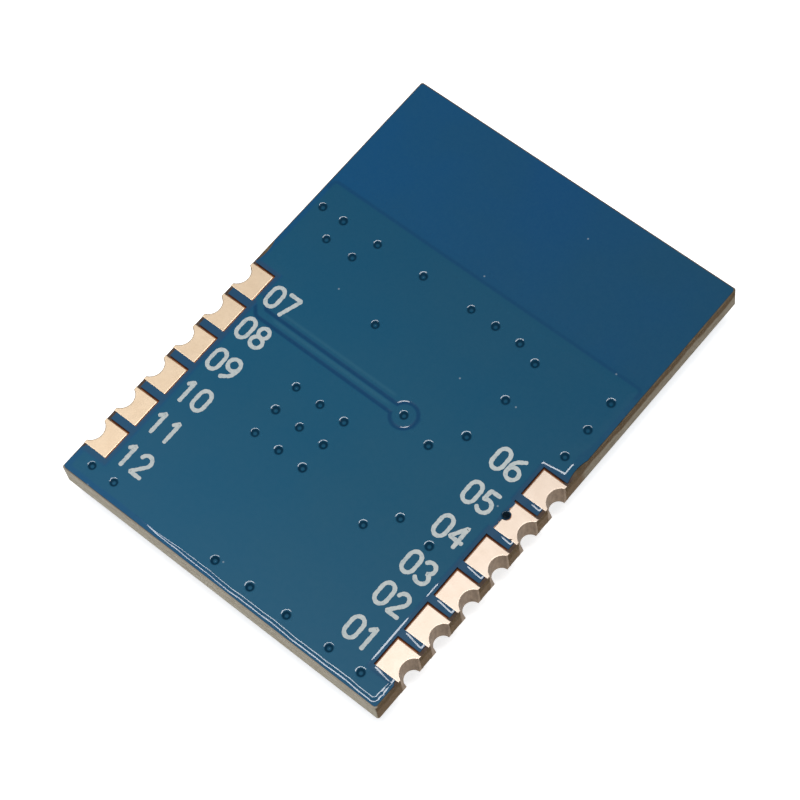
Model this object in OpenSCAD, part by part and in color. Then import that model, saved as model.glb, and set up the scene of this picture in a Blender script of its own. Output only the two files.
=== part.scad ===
// Short-range radio module on a small two-layer board with plated half-hole terminals along its long edges.
// The board lies with its solder side up, the side with the terminal lands, the ground pour and the vias.
// The parts of the component side hang below it, and the module rests on the tallest of them at z = 0.
// X runs across the two rows of terminals, and +Y points to the end that carries the printed antenna.

/* [Board] */
// Width across the two rows of terminals
board_w = 11.75; // [11.5:0.05:13]
// Length from the plain end to the antenna end
board_l = 16.05; // [15.5:0.05:19]
// Thickness of the bare laminate
board_t = 0.8; // [0.6:0.1:1.6]
// Radius of the routed corners
corner_r = 0.08; // [0.05:0.01:0.3]
// Depth of the shallow dip that the router leaves in each long edge
dip_depth = 0.07; // [0.03:0.01:0.12]
// Length of that dip along the edge
dip_len = 0.85; // [0.6:0.05:1.1]

/* [Edge terminals] */
// Distance between neighbouring terminals of a row
row_pitch = 1.27; // [1.2:0.01:1.4]
// Distance from the plain end to the first terminal
row_start = 1.44; // [1.3:0.02:1.8]
// Width of a land along the edge
land_w = 0.96; // [0.8:0.02:1]
// Length of a land from the edge inwards
land_len = 0.82; // [0.6:0.02:0.9]
// Radius of the half hole drilled in the laminate
hole_r = 0.43; // [0.3:0.01:0.45]
// Distance from the board's edge out to the half hole's centre
hole_out = 0.16; // [0:0.01:0.2]
// Thickness of the plating on the half hole's wall
plating_t = 0.03; // [0.02:0.005:0.05]

/* [Copper and mask] */
// Thickness of the copper foil
copper_t = 0.035; // [0.02:0.005:0.07]
// Thickness of the solder mask
mask_t = 0.025; // [0.015:0.005:0.04]
// Gap between a land and the mask around it
mask_gap = 0.04; // [0.02:0.01:0.08]
// Bare rim between the mask and the board's edge
mask_inset = 0.04; // [0.02:0.01:0.1]
// Length of the antenna end that has no ground copper
keepout_len = 4.25; // [4:0.05:4.6]
// Distance from the ground pour to the board's edge
pour_margin = 0.2; // [0.12:0.01:0.3]
// Corner radius of the ground pour
pour_r = 0.3; // [0.2:0.05:0.4]
// Insulating gap between the ground pour and other copper
clearance = 0.2; // [0.12:0.01:0.22]
// Width of the long trace on the solder side
long_trace_w = 0.22; // [0.15:0.01:0.25]
// Width of a signal trace on the component side
signal_w = 0.15; // [0.1:0.01:0.2]
// Width of the supply trace
supply_w = 0.2; // [0.15:0.01:0.25]
// Width of the radio trace
radio_w = 0.3; // [0.2:0.01:0.36]

/* [Vias] */
// Radius of a via's drilled hole
via_r = 0.15; // [0.1:0.01:0.2]
// Thickness of a via's copper wall
via_wall = 0.025; // [0.015:0.005:0.04]
// Radius of the signal via's land
via_land_r = 0.27; // [0.22:0.01:0.3]
// Depth of the dimple in the mask over a via
dimple_depth = 0.06; // [0.04:0.01:0.08]
// Depth of the mask's plug in the mouth of a via
plug_depth = 0.08; // [0.06:0.01:0.12]
// Spacing of the heat vias under the main chip
heat_via_pitch = 0.9; // [0.7:0.02:0.95]

/* [Antenna] */
// Width of the antenna's strip
strip_w = 0.5; // [0.35:0.05:0.6]
// Distance between neighbouring strokes of the meander
stroke_pitch = 1.1; // [0.9:0.05:1.15]
// Distance from the strip to the end of the board
strip_margin = 0.35; // [0.25:0.05:0.5]
// Distance from the meander's lower turns to the ground pour
strip_lift = 0.9; // [0.7:0.05:1.2]

/* [Main chip] */
// Side length of the chip's square body
chip_w = 4; // [3.8:0.05:4.1]
// Height of the chip's body
chip_h = 0.85; // [0.75:0.05:0.95]
// Distance between neighbouring leads
lead_pitch = 0.4; // [0.38:0.01:0.42]
// Width of a lead
lead_w = 0.2; // [0.15:0.01:0.22]
// Length of a lead under the body
lead_len = 0.35; // [0.3:0.01:0.4]
// Thickness of the lead frame
lead_t = 0.2; // [0.15:0.01:0.25]
// Side length of the heat pad under the body
heat_pad_w = 2.7; // [2.4:0.05:2.75]

/* [Crystals] */
// Length of the main crystal
main_l = 2.5; // [2.3:0.05:2.6]
// Width of the main crystal
main_w = 2; // [1.9:0.05:2.1]
// Height of the main crystal
main_h = 0.55; // [0.45:0.05:0.8]
// Length of the sleep clock's crystal
sleep_l = 3.2; // [3:0.05:3.3]
// Width of the sleep clock's crystal
sleep_w = 1.5; // [1.4:0.05:1.55]
// Height of the sleep clock's crystal
sleep_h = 0.85; // [0.7:0.05:0.95]
// Thickness of a crystal's metal lid
lid_t = 0.12; // [0.08:0.01:0.2]
// Step from a crystal's base to its lid
lid_step = 0.12; // [0.08:0.01:0.2]
// Thickness of a crystal's contact pads
contact_t = 0.02; // [0.01:0.005:0.04]
// Radius of the notches in a crystal's corners
notch_r = 0.15; // [0.1:0.01:0.2]

/* [Small parts] */
// Length of a small capacitor, coil or resistor
small_l = 1; // [0.95:0.01:1.05]
// Width of a small capacitor, coil or resistor
small_w = 0.5; // [0.45:0.01:0.55]
// Height of a small capacitor or coil
small_h = 0.5; // [0.4:0.01:0.6]
// Length of a small part's end caps
small_end = 0.25; // [0.18:0.01:0.3]
// Height of a resistor
resistor_h = 0.35; // [0.3:0.01:0.45]
// Thickness of a resistor's dark film
film_t = 0.03; // [0.02:0.005:0.05]
// Length of the supply coil
coil_l = 2; // [1.9:0.05:2.1]
// Width of the supply coil
coil_w = 1.25; // [1.1:0.05:1.3]
// Height of the supply coil
coil_h = 0.85; // [0.7:0.05:0.95]
// Length of the supply coil's end caps
coil_end = 0.4; // [0.3:0.05:0.5]
// Thickness of an end cap's metal
cap_t = 0.02; // [0.01:0.005:0.03]

/* [Solder] */
// Thickness of the solder under a part
solder_t = 0.03; // [0.015:0.005:0.06]
// Length of the solder pad that shows beyond a part's end
toe = 0.15; // [0.1:0.01:0.18]
// Height of the solder fillet on a small part's end
fillet_h = 0.22; // [0.1:0.01:0.3]

/* [Hidden] */
$fn = 48;
rows = 6;
leads = 8;
capacitors = 8;
radio_coils = 2;
resistors = 2;

// Heights, from the lowest component face up: a part sits clear of the mask on its solder
joint_t = max(solder_t, mask_t);
seat = copper_t + joint_t;
front_z = seat + max(chip_h, main_h, sleep_h, coil_h);
back_z = front_z + board_t;
eps = 0.01;

// Reference lines of the board
edge_x = board_w / 2;
end_y = board_l / 2;
land_x = edge_x - land_len;
pour_top = end_y - keepout_len;
pour_low = pour_margin - end_y;
pour_x = edge_x - pour_margin;
circuit_y = row_start - end_y + (rows - 1) / 2 * row_pitch;

// Terminals count up the right edge from the plain end, then down the left edge
function row_y(i) = row_start - end_y + (i - 1) * row_pitch;
function terminal_side(i) = i <= rows ? 1 : -1;
function terminal_y(i) = i <= rows ? row_y(i) : row_y(2 * rows + 1 - i);
function land_end(i) = [terminal_side(i) * land_x, terminal_y(i)];
function hole_at(i) = [terminal_side(i) * (edge_x + hole_out), terminal_y(i)];
ground_terminal = 5;
radio_terminal = 6;
trace_terminal = 7;

// Places of the parts, from the middle of the terminal rows
function place(x, y) = [x, circuit_y + y];
chip_at = place(-1.25, 0.45);
chip_edge = chip_w / 2;
sleep_gap = 0.74;
radio_gap = 0.65;
bypass_gap = 0.6;
main_at = place(-3.3, 4.51);
sleep_at = [chip_at[0] - 0.05, chip_at[1] - chip_edge - sleep_w / 2 - sleep_gap];
coil_at = place(0.6, 4.81);
radio_x = 3.45;
radio_in_y = chip_at[1] + 2.5 * lead_pitch;
radio_out_y = terminal_y(radio_terminal);
radio_coil_spots = [
    [chip_at[0] + chip_edge + radio_gap + small_l / 2, radio_in_y, 0],
    [radio_x, (radio_in_y + radio_out_y) / 2 - 0.05, 90]
];
capacitor_spots = [
    [chip_at[0] + 0.3, chip_at[1] + chip_edge + bypass_gap + small_w / 2, 0],
    [0.6, chip_at[1] + chip_edge + bypass_gap + small_w / 2 + 0.2, 0],
    [-1.25, circuit_y + 4.96, 90],
    [3.4, circuit_y - 0.54, 180],
    [3.6, circuit_y - 2.54, 0],
    [2.2, circuit_y + 4.76, 90],
    [radio_x, radio_out_y + 0.94, 90],
    [land_x - 0.7, radio_out_y, 180]
];
resistor_spots = [
    [-4.2, circuit_y + 2.64, 90],
    [4.45, circuit_y + 5.31, 90]
];

// Vias: two rows by the antenna end, a column at the right, a row at the plain end, and those among the parts
row_drop = 0.87;
stitch_xs = [0.45 - edge_x, 1.25 - edge_x, -3.3, -1.55, 0.25, 1.15, 2.05];
stitch_vias = [for (x = stitch_xs) [x, pour_top - row_drop]];
offset_vias = [[2.8, pour_top - 1.12], [1.25 - edge_x, pour_top - 1.64], [2.25 - edge_x, pour_top - 1.64]];
column_vias = [for (drop = [0.79, 1.84, 2.87]) [edge_x - 0.6, pour_top - drop]];
end_xs = [0.7 - edge_x, 1.55 - edge_x, -0.45, 0.85, 2.2, 3.75, edge_x - 0.98];
end_vias = [for (x = end_xs) [x, 0.55 - end_y]];
part_spots = [[-1.65, 4.26], [2.86, 4.66], [2.7, 3.12], [2.02, 2.25], [2.83, 0.06], [4, -0.09], [2.13, -0.72]];
part_vias = [for (spot = part_spots) place(spot[0], spot[1])];
heat_vias = [for (i = [-1:1], j = [-1:1]) chip_at + heat_via_pitch * [i, j]];
ground_via = [land_x + 0.04, terminal_y(ground_terminal) + 0.03];
signal_via = [chip_at[0] + chip_edge + 0.12, chip_at[1] + chip_edge + 0.1];
free_vias = concat(stitch_vias, offset_vias, column_vias, end_vias, part_vias, [signal_via]);
all_vias = concat(free_vias, heat_vias, [ground_via]);

// Leads: sides count from +X by quarter turns, and each side's leads count along +Y or +X
function lead_offset(k) = (k - (leads - 1) / 2) * lead_pitch;
function lead_point(side, k, reach) = chip_at + (
    side == 0 ? [reach, lead_offset(k)] :
    side == 1 ? [lead_offset(k), reach] :
    side == 2 ? [-reach, lead_offset(k)] :
    [lead_offset(k), -reach]);
lead_reach = chip_edge + toe;
function lead_out(side, k) = lead_point(side, k, lead_reach);

// A route that runs level from one point and ends with a slanted stretch at the other
function slant(a, b) = min(abs(a[1] - b[1]), abs(a[0] - b[0]));
function elbow(a, b) = [a, [b[0] + sign(a[0] - b[0]) * slant(a, b), a[1]], b];

// End points of a small part's pads
function turned(spot, d) = [spot[0] + d * cos(spot[2]), spot[1] + d * sin(spot[2])];
small_pad = small_l / 2 - small_end / 2;

// The long trace leaves its land near the lower corner, slants down and runs level to the signal via
trace_start = [-land_x - eps, terminal_y(trace_terminal) - land_w / 2 + 0.2];
trace_bend = [0.15 - land_x, trace_start[1]];
trace_fall = abs(trace_bend[1] - signal_via[1]);
long_trace = [trace_start, trace_bend, [trace_bend[0] + trace_fall, signal_via[1]], signal_via];
detour_y = circuit_y - 1.19;
// A route that slants under the main crystal, runs up between its contacts and turns to one of them
crystal_lane = 0.17;
function crystal_route(a, side) = let (x = main_at[0] + side * crystal_lane, y = main_at[1] + side * main_w / 3) [
    a,
    [x, a[1] + a[0] - x],
    [x, y],
    [main_at[0] + side * main_l / 4, y]
];
signal_routes = [
    elbow(land_end(8), lead_out(2, 6)),
    elbow(land_end(9), lead_out(2, 4)),
    elbow(land_end(10), lead_out(2, 2)),
    elbow(land_end(11), lead_out(2, 0)),
    elbow(land_end(12), lead_out(3, 0)),
    elbow(land_end(4), lead_out(0, 4)),
    elbow(land_end(1), lead_out(3, 7)),
    concat([land_end(3)], elbow([land_x - 0.55, detour_y], lead_out(0, 2))),
    elbow(signal_via, lead_out(1, 7)),
    crystal_route(lead_out(1, 0), -1),
    crystal_route(lead_out(1, 1), 1),
    [lead_out(3, 2), lead_out(3, 2) - [0.45, 0.45], lead_out(3, 2) - [0.45, 0.8]],
    [lead_out(3, 5), lead_out(3, 5) + [0.4, -0.4], lead_out(3, 5) + [0.4, -0.8]]
];
supply_routes = [
    elbow(land_end(2), lead_out(0, 0)),
    [turned(capacitor_spots[4], small_pad), [turned(capacitor_spots[4], small_pad)[0], terminal_y(2)]]
];
radio_routes = [
    [lead_point(0, 6, chip_edge), turned(radio_coil_spots[0], -small_pad)],
    [turned(radio_coil_spots[0], small_pad), [radio_x, radio_in_y], turned(radio_coil_spots[1], -small_pad)],
    [turned(radio_coil_spots[1], small_pad), turned(capacitor_spots[6], -small_pad)],
    [turned(capacitor_spots[6], small_pad), [radio_x, pour_top + eps]],
    [[radio_x, radio_out_y], turned(capacitor_spots[7], small_pad)],
    [turned(capacitor_spots[7], -small_pad), land_end(radio_terminal)]
];
// Widths of the radio line where it meets a lead and everywhere else
function radio_width(i) = i == 0 ? lead_w : radio_w;

// The antenna runs from its earth leg over the feed and then to the far side in even strokes
strip_top = end_y - strip_margin - strip_w / 2;
strip_low = pour_top + strip_lift + strip_w / 2;
earth_x = edge_x - strip_margin - strip_w / 2;
stroke_room = radio_x + edge_x - strip_margin - strip_w / 2;
strokes = floor(stroke_room / stroke_pitch);
function stroke_x(i) = radio_x - ceil(i / 2) * stroke_pitch;
function stroke_y(i) = i % 4 < 2 ? strip_top : strip_low;
antenna_path = concat(
    [[earth_x, pour_top], [earth_x, strip_top]],
    [for (i = [1:2 * strokes]) [stroke_x(i), stroke_y(i)]]
);

// Outline of a strip of width w along a path, with mitred corners
function unit(v) = v / norm(v);
function left_of(v) = [-v[1], v[0]];
function heading(p, i) = unit(p[min(i + 1, len(p) - 1)] - p[min(i, len(p) - 2)]);
function corner(p, i) = let (
    n1 = left_of(heading(p, max(i - 1, 0))),
    n2 = left_of(heading(p, i)),
    m = n1 + n2
) 2 * m / (m * m);
function ribbon(p, w) = concat(
    [for (i = [0:len(p) - 1]) p[i] + corner(p, i) * w / 2],
    [for (i = [len(p) - 1:-1:0]) p[i] - corner(p, i) * w / 2]
);

module rounded(w, l, r) {
    square([w - 2 * r, l], center = true);
    square([w, l - 2 * r], center = true);
    for (x = [-1, 1], y = [-1, 1])
        translate([x * (w / 2 - r), y * (l / 2 - r)])
            circle(r);
}

// The board's outline, drawn in by a rim
module outline(rim = 0) {
    dip_r = (dip_len * dip_len / 4 + dip_depth * dip_depth) / (2 * dip_depth);
    dip_y = row_y(rows) + land_w / 2 + 0.1 + dip_len / 2;
    difference() {
        rounded(board_w - 2 * rim, board_l - 2 * rim, corner_r);
        for (side = [-1, 1])
            translate([side * (edge_x - dip_depth + dip_r), dip_y])
                circle(dip_r + rim, $fn = 96);
    }
}

// A band along one terminal's land, grown all round and run out over the edge
module land_area(i, grow = 0, over = 0) {
    reach = land_len + grow + over;
    translate([terminal_side(i) * (land_x - grow + reach / 2), terminal_y(i)])
        square([reach, land_w + 2 * grow], center = true);
}

module lands(grow = 0, over = 0) {
    for (i = [1:2 * rows])
        land_area(i, grow, over);
}

module via_holes(vias, r) {
    for (at = vias)
        translate(at)
            circle(r);
}

// The ground area common to both sides, grown or shrunk at its edges
module pour_area(grow = 0) {
    column_l = (rows - 1) * row_pitch + land_w + 2 * (clearance - grow);
    window_w = land_len + clearance - grow;
    difference() {
        translate([0, (pour_top + pour_low) / 2])
            rounded(2 * (pour_x + grow), pour_top - pour_low + 2 * grow, pour_r);
        for (side = [-1, 1])
            translate([side * (edge_x - window_w / 2 + eps), circuit_y])
                square([window_w + 2 * eps, column_l], center = true);
    }
}

// The neck that ties the ground terminal to the pour
module ground_neck(grow = 0) {
    neck_l = clearance + 2 * eps;
    translate([land_x - neck_l / 2, terminal_y(ground_terminal)])
        square([neck_l, land_w + 2 * grow], center = true);
}

module back_copper_area(grow = 0) {
    difference() {
        pour_area(grow);
        polygon(ribbon(long_trace, long_trace_w + 2 * (clearance - grow)));
        translate(signal_via)
            circle(via_land_r + clearance - grow);
    }
    ground_neck(grow);
    polygon(ribbon(long_trace, long_trace_w + 2 * grow));
    translate(signal_via)
        circle(via_land_r + grow);
}

// Solder pads of the parts, grown all round
module chip_pads(grow = 0) {
    pad_l = lead_len + toe;
    translate(chip_at) {
        for (side = [0:3], k = [0:leads - 1])
            rotate(90 * side)
                translate([chip_edge - lead_len + pad_l / 2, lead_offset(k)])
                    square([pad_l + 2 * grow, lead_w + 2 * grow], center = true);
        square(heat_pad_w + 2 * grow, center = true);
    }
}

module end_pads(spot, l, w, end, grow = 0) {
    pad_l = end + toe;
    translate([spot[0], spot[1]])
        rotate(spot[2])
            for (side = [-1, 1])
                translate([side * (l / 2 - end + pad_l / 2), 0])
                    square([pad_l + 2 * grow, w + 2 * grow], center = true);
}

// Contacts of a crystal: four at the corners or two at the ends
module crystal_contacts(l, w, four, grow = 0) {
    contact_l = four ? 0.36 * l : 0.25 * l;
    contact_w = four ? 0.4 * w : w - 2 * notch_r;
    rim = 0.05;
    for (x = [-1, 1], y = four ? [-1, 1] : [0])
        translate([x * (l / 2 - rim - contact_l / 2), y * (w / 2 - rim - contact_w / 2)])
            square([contact_l + 2 * grow, contact_w + 2 * grow], center = true);
}

module part_pads(grow = 0) {
    chip_pads(min(grow, (lead_pitch - lead_w) / 2 - eps));
    for (spot = concat(capacitor_spots, radio_coil_spots, resistor_spots))
        end_pads(spot, small_l, small_w, small_end, grow);
    end_pads([coil_at[0], coil_at[1], 0], coil_l, coil_w, coil_end, grow);
    translate(main_at)
        crystal_contacts(main_l, main_w, true, grow);
    translate(sleep_at)
        crystal_contacts(sleep_l, sleep_w, false, grow);
}

module front_routes(grow = 0) {
    for (route = signal_routes)
        polygon(ribbon(route, signal_w + 2 * grow));
    for (route = supply_routes)
        polygon(ribbon(route, supply_w + 2 * grow));
    for (i = [0:len(radio_routes) - 1])
        polygon(ribbon(radio_routes[i], radio_width(i) + 2 * grow));
}

// Ground kept clear around the parts and routes, and over the whole fan of routes on the left
module front_gaps(gap) {
    fan_low = terminal_y(2 * rows) - gap;
    fan_high = terminal_y(trace_terminal + 1) + gap;
    part_gap([chip_at[0], chip_at[1], 0], 2 * lead_reach + gap, 2 * lead_reach + gap, gap);
    part_gap([sleep_at[0], chip_at[1] - chip_edge, 0], sleep_l, sleep_w, gap);
    for (spot = concat(capacitor_spots, radio_coil_spots, resistor_spots))
        part_gap(spot, small_l + 2 * toe, small_w, gap);
    part_gap([coil_at[0], coil_at[1], 0], coil_l + 2 * toe, coil_w, gap);
    part_gap([main_at[0], main_at[1], 0], main_l, main_w, gap);
    part_gap([sleep_at[0], sleep_at[1], 0], sleep_l, sleep_w, gap);
    translate([-land_x, fan_low])
        square([land_x + chip_at[0] - chip_edge, fan_high - fan_low]);
    front_routes(gap);
    translate(signal_via)
        circle(via_land_r + gap);
}

module part_gap(spot, l, w, gap) {
    translate([spot[0], spot[1]])
        rotate(spot[2])
            square([l + 2 * gap, w + 2 * gap], center = true);
}

// Short necks that tie one end of each bypass capacitor to the ground pour
module earth_necks(grow = 0) {
    neck_l = clearance + toe + 2 * eps;
    for (i = [0, 1, 2, 3, 4, 5])
        translate([capacitor_spots[i][0], capacitor_spots[i][1]])
            rotate(capacitor_spots[i][2])
                translate([-small_l / 2 - neck_l / 2, 0])
                    square([neck_l, small_w / 2 + 2 * grow], center = true);
}

module front_copper_area(grow = 0) {
    intersection() {
        union() {
            difference() {
                pour_area(grow);
                front_gaps(clearance - grow);
            }
            ground_neck(grow);
            earth_necks(grow);
            part_pads(grow);
            front_routes(grow);
            via_holes(all_vias, via_land_r + grow);
        }
        translate([0, (pour_top - end_y) / 2])
            square([2 * (land_x + land_len), pour_top + end_y], center = true);
    }
}

module antenna_area(grow = 0) {
    feed = [[radio_x, pour_top], [radio_x, strip_top]];
    polygon(ribbon(antenna_path, strip_w + 2 * grow));
    polygon(ribbon(feed, strip_w + 2 * grow));
}

// Draws a part of the component side as if that side faced up
module on_front() {
    translate([0, 0, front_z])
        mirror([0, 0, 1])
            children();
}

module core() {
    color("#8a7a58")
        translate([0, 0, front_z])
            linear_extrude(board_t)
                difference() {
                    outline();
                    for (i = [1:2 * rows])
                        translate(hole_at(i))
                            circle(hole_r);
                    via_holes(all_vias, via_r);
                }
}

module back_copper() {
    color("#c98f5a")
        translate([0, 0, back_z])
            linear_extrude(copper_t)
                difference() {
                    back_copper_area();
                    lands();
                    via_holes(all_vias, via_r);
                }
}

module front_copper() {
    color("#c98f5a")
        on_front()
            linear_extrude(copper_t)
                difference() {
                    front_copper_area();
                    lands();
                    via_holes(all_vias, via_r);
                }
}

module antenna_strip() {
    color("#c98f5a")
        on_front()
            linear_extrude(copper_t)
                antenna_area();
}

// Mask that follows the copper: thin over bare laminate, one foil higher over the copper
module back_mask() {
    color("#1f5a80")
        translate([0, 0, back_z])
            difference() {
                union() {
                    linear_extrude(mask_t)
                        outline(mask_inset);
                    linear_extrude(copper_t + mask_t)
                        intersection() {
                            back_copper_area(mask_t);
                            outline(mask_inset);
                        }
                    for (at = concat(free_vias, heat_vias))
                        translate([at[0], at[1], copper_t - plug_depth])
                            cylinder(r = via_r - via_wall, h = plug_depth + mask_t / 2);
                }
                linear_extrude(copper_t)
                    difference() {
                        back_copper_area();
                        via_holes(all_vias, via_r - via_wall);
                    }
                translate([0, 0, -eps])
                    linear_extrude(copper_t + mask_t + 2 * eps)
                        lands(mask_gap, 2 * mask_inset);
                for (at = concat(free_vias, heat_vias))
                    translate([at[0], at[1], copper_t + mask_t])
                        via_dimple();
            }
}

// Bowl that the mask sinks into over a via
module via_dimple() {
    mouth_r = via_r - via_wall;
    bowl_r = (mouth_r * mouth_r + dimple_depth * dimple_depth) / (2 * dimple_depth);
    translate([0, 0, bowl_r - dimple_depth])
        sphere(bowl_r);
}

module front_mask() {
    color("#1f5a80")
        on_front()
            difference() {
                union() {
                    linear_extrude(mask_t)
                        outline(mask_inset);
                    linear_extrude(copper_t + mask_t)
                        intersection() {
                            union() {
                                front_copper_area(mask_t);
                                antenna_area(mask_t);
                            }
                            outline(mask_inset);
                        }
                }
                linear_extrude(copper_t)
                    union() {
                        front_copper_area();
                        antenna_area();
                        via_holes(all_vias, via_r);
                    }
                translate([0, 0, -eps])
                    linear_extrude(copper_t + mask_t + 2 * eps)
                        union() {
                            lands(mask_gap, 2 * mask_inset);
                            part_pads(mask_gap);
                        }
            }
}

module via_barrels() {
    color("#c98f5a")
        translate([0, 0, front_z - copper_t])
            linear_extrude(board_t + 2 * copper_t)
                difference() {
                    via_holes(all_vias, via_r);
                    via_holes(all_vias, via_r - via_wall);
                }
}

// One terminal: a land on each side and the plated half hole that joins them
module terminal(i) {
    at = hole_at(i);
    color("#ecd6b4")
        difference() {
            union() {
                for (z = [front_z - copper_t, back_z])
                    translate([0, 0, z])
                        linear_extrude(copper_t)
                            land_area(i);
                translate([0, 0, front_z - copper_t])
                    linear_extrude(board_t + 2 * copper_t)
                        intersection() {
                            translate(at)
                                circle(hole_r);
                            land_area(i);
                        }
            }
            translate([at[0], at[1], front_z - copper_t - eps])
                cylinder(r = hole_r - plating_t, h = board_t + 2 * (copper_t + eps));
            translate([ground_via[0], ground_via[1], front_z - copper_t - eps])
                cylinder(r = via_r, h = board_t + 2 * (copper_t + eps));
        }
}

module lead_blocks() {
    translate([chip_at[0], chip_at[1], seat])
        for (side = [0:3], k = [0:leads - 1])
            rotate(90 * side)
                translate([chip_edge - lead_len, lead_offset(k) - lead_w / 2, 0])
                    cube([lead_len, lead_w, lead_t]);
}

module heat_block() {
    translate([chip_at[0], chip_at[1], seat])
        linear_extrude(lead_t)
            square(heat_pad_w, center = true);
}

// Flat no-lead body with a dimple that marks the first lead
module chip_body() {
    mark_r = 0.2;
    mark_depth = 0.03;
    mark_inset = 0.55;
    color("#26262a")
        on_front()
            difference() {
                translate([chip_at[0], chip_at[1], seat])
                    linear_extrude(chip_h)
                        square(chip_w, center = true);
                lead_blocks();
                heat_block();
                translate([chip_at[0], chip_at[1], seat + chip_h - mark_depth])
                    translate([mark_inset - chip_edge, chip_edge - mark_inset, 0])
                        cylinder(r = mark_r, h = 2 * mark_depth);
            }
}

module chip_leads() {
    color("#c8c8c4")
        on_front()
            lead_blocks();
}

module chip_heat_pad() {
    color("#c8c8c4")
        on_front()
            heat_block();
}

// Ceramic tray of a crystal, notched at its corners
module crystal_base(at, l, w, h) {
    color("#4a4540")
        on_front()
            translate([at[0], at[1], seat + contact_t])
                linear_extrude(h - contact_t - lid_t)
                    difference() {
                        square([l, w], center = true);
                        for (x = [-1, 1], y = [-1, 1])
                            translate([x * l / 2, y * w / 2])
                                circle(notch_r);
                    }
}

module crystal_lid(at, l, w, h) {
    lid_r = 0.2;
    color("#c9c4b4")
        on_front()
            translate([at[0], at[1], seat + h - lid_t])
                linear_extrude(lid_t)
                    rounded(l - 2 * lid_step, w - 2 * lid_step, lid_r);
}

module crystal_pads(at, l, w, four) {
    color("#d8b878")
        on_front()
            translate([at[0], at[1], seat])
                linear_extrude(contact_t)
                    difference() {
                        crystal_contacts(l, w, four);
                        for (x = [-1, 1], y = [-1, 1])
                            translate([x * l / 2, y * w / 2])
                                circle(notch_r);
                    }
}

// Stands a small part on its pads
module on_spot(spot) {
    on_front()
        translate([spot[0], spot[1], seat])
            rotate(spot[2])
                children();
}

module block(l, w, low, high) {
    translate([0, 0, low])
        linear_extrude(high - low)
            square([l, w], center = true);
}

// Body of a part whose metal caps wrap round both of its ends
module capped_body(l, w, h) {
    block(l - 2 * cap_t, w - 2 * cap_t, cap_t, h - cap_t);
}

module end_caps(l, w, h, end) {
    difference() {
        for (side = [-1, 1])
            translate([side * (l - end) / 2, 0, 0])
                block(end, w, 0, h);
        capped_body(l, w, h);
    }
}

module capacitor_body(i) {
    color("#b08a5c")
        on_spot(capacitor_spots[i - 1])
            capped_body(small_l, small_w, small_h);
}

module capacitor_ends(i) {
    color("#cfcfca")
        on_spot(capacitor_spots[i - 1])
            end_caps(small_l, small_w, small_h, small_end);
}

module radio_coil_body(i) {
    color("#dcd9cf")
        on_spot(radio_coil_spots[i - 1])
            capped_body(small_l, small_w, small_h);
}

module radio_coil_ends(i) {
    color("#cfcfca")
        on_spot(radio_coil_spots[i - 1])
            end_caps(small_l, small_w, small_h, small_end);
}

module supply_coil_body() {
    color("#55524e")
        on_spot([coil_at[0], coil_at[1], 0])
            capped_body(coil_l, coil_w, coil_h);
}

module supply_coil_ends() {
    color("#cfcfca")
        on_spot([coil_at[0], coil_at[1], 0])
            end_caps(coil_l, coil_w, coil_h, coil_end);
}

// White ceramic of a resistor, with the film lying in it between the caps
module resistor_body(i) {
    color("#ece9e0")
        on_spot(resistor_spots[i - 1])
            difference() {
                capped_body(small_l, small_w, resistor_h);
                block(small_l - 2 * small_end, small_w, resistor_h - cap_t - film_t, resistor_h);
            }
}

module resistor_film(i) {
    color("#1c1c1e")
        on_spot(resistor_spots[i - 1])
            block(small_l - 2 * small_end, small_w - 2 * cap_t, resistor_h - cap_t - film_t, resistor_h);
}

module resistor_ends(i) {
    color("#cfcfca")
        on_spot(resistor_spots[i - 1])
            end_caps(small_l, small_w, resistor_h, small_end);
}

// Film of solder under each end cap, with a fillet that climbs the cap's face
module end_solder(spot, l, w, end) {
    on_front()
        translate([spot[0], spot[1], copper_t])
            rotate(spot[2])
                for (turn = [0, 180])
                    rotate(turn)
                        translate([l / 2, w / 2, 0])
                            rotate([90, 0, 0])
                                linear_extrude(w)
                                    polygon([[-end, 0], [toe, 0], [0, fillet_h], [0, joint_t], [-end, joint_t]]);
}

module solder_film() {
    on_front()
        translate([0, 0, copper_t])
            linear_extrude(joint_t)
                children();
}

module solder_joints() {
    color("#b9bcbf") {
        for (spot = concat(capacitor_spots, radio_coil_spots, resistor_spots))
            end_solder(spot, small_l, small_w, small_end);
        end_solder([coil_at[0], coil_at[1], 0], coil_l, coil_w, coil_end);
        solder_film()
            chip_pads();
        solder_film()
            translate(main_at)
                crystal_contacts(main_l, main_w, true);
        solder_film()
            translate(sleep_at)
                crystal_contacts(sleep_l, sleep_w, false);
    }
}

core();
back_copper();
front_copper();
antenna_strip();
back_mask();
front_mask();
via_barrels();
for (i = [1:2 * rows])
    terminal(i);
chip_body();
chip_leads();
chip_heat_pad();
crystal_base(main_at, main_l, main_w, main_h);  // main_crystal_base
crystal_lid(main_at, main_l, main_w, main_h);  // main_crystal_lid
crystal_pads(main_at, main_l, main_w, true);  // main_crystal_pads
crystal_base(sleep_at, sleep_l, sleep_w, sleep_h);  // sleep_crystal_base
crystal_lid(sleep_at, sleep_l, sleep_w, sleep_h);  // sleep_crystal_lid
crystal_pads(sleep_at, sleep_l, sleep_w, false);  // sleep_crystal_pads
supply_coil_body();
supply_coil_ends();
for (i = [1:radio_coils]) {
    radio_coil_body(i);
    radio_coil_ends(i);
}
for (i = [1:capacitors]) {
    capacitor_body(i);
    capacitor_ends(i);
}
for (i = [1:resistors]) {
    resistor_body(i);
    resistor_film(i);
    resistor_ends(i);
}
solder_joints();
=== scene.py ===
import math

import bmesh
import bpy
import numpy as np
from mathutils import Matrix, Vector


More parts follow.
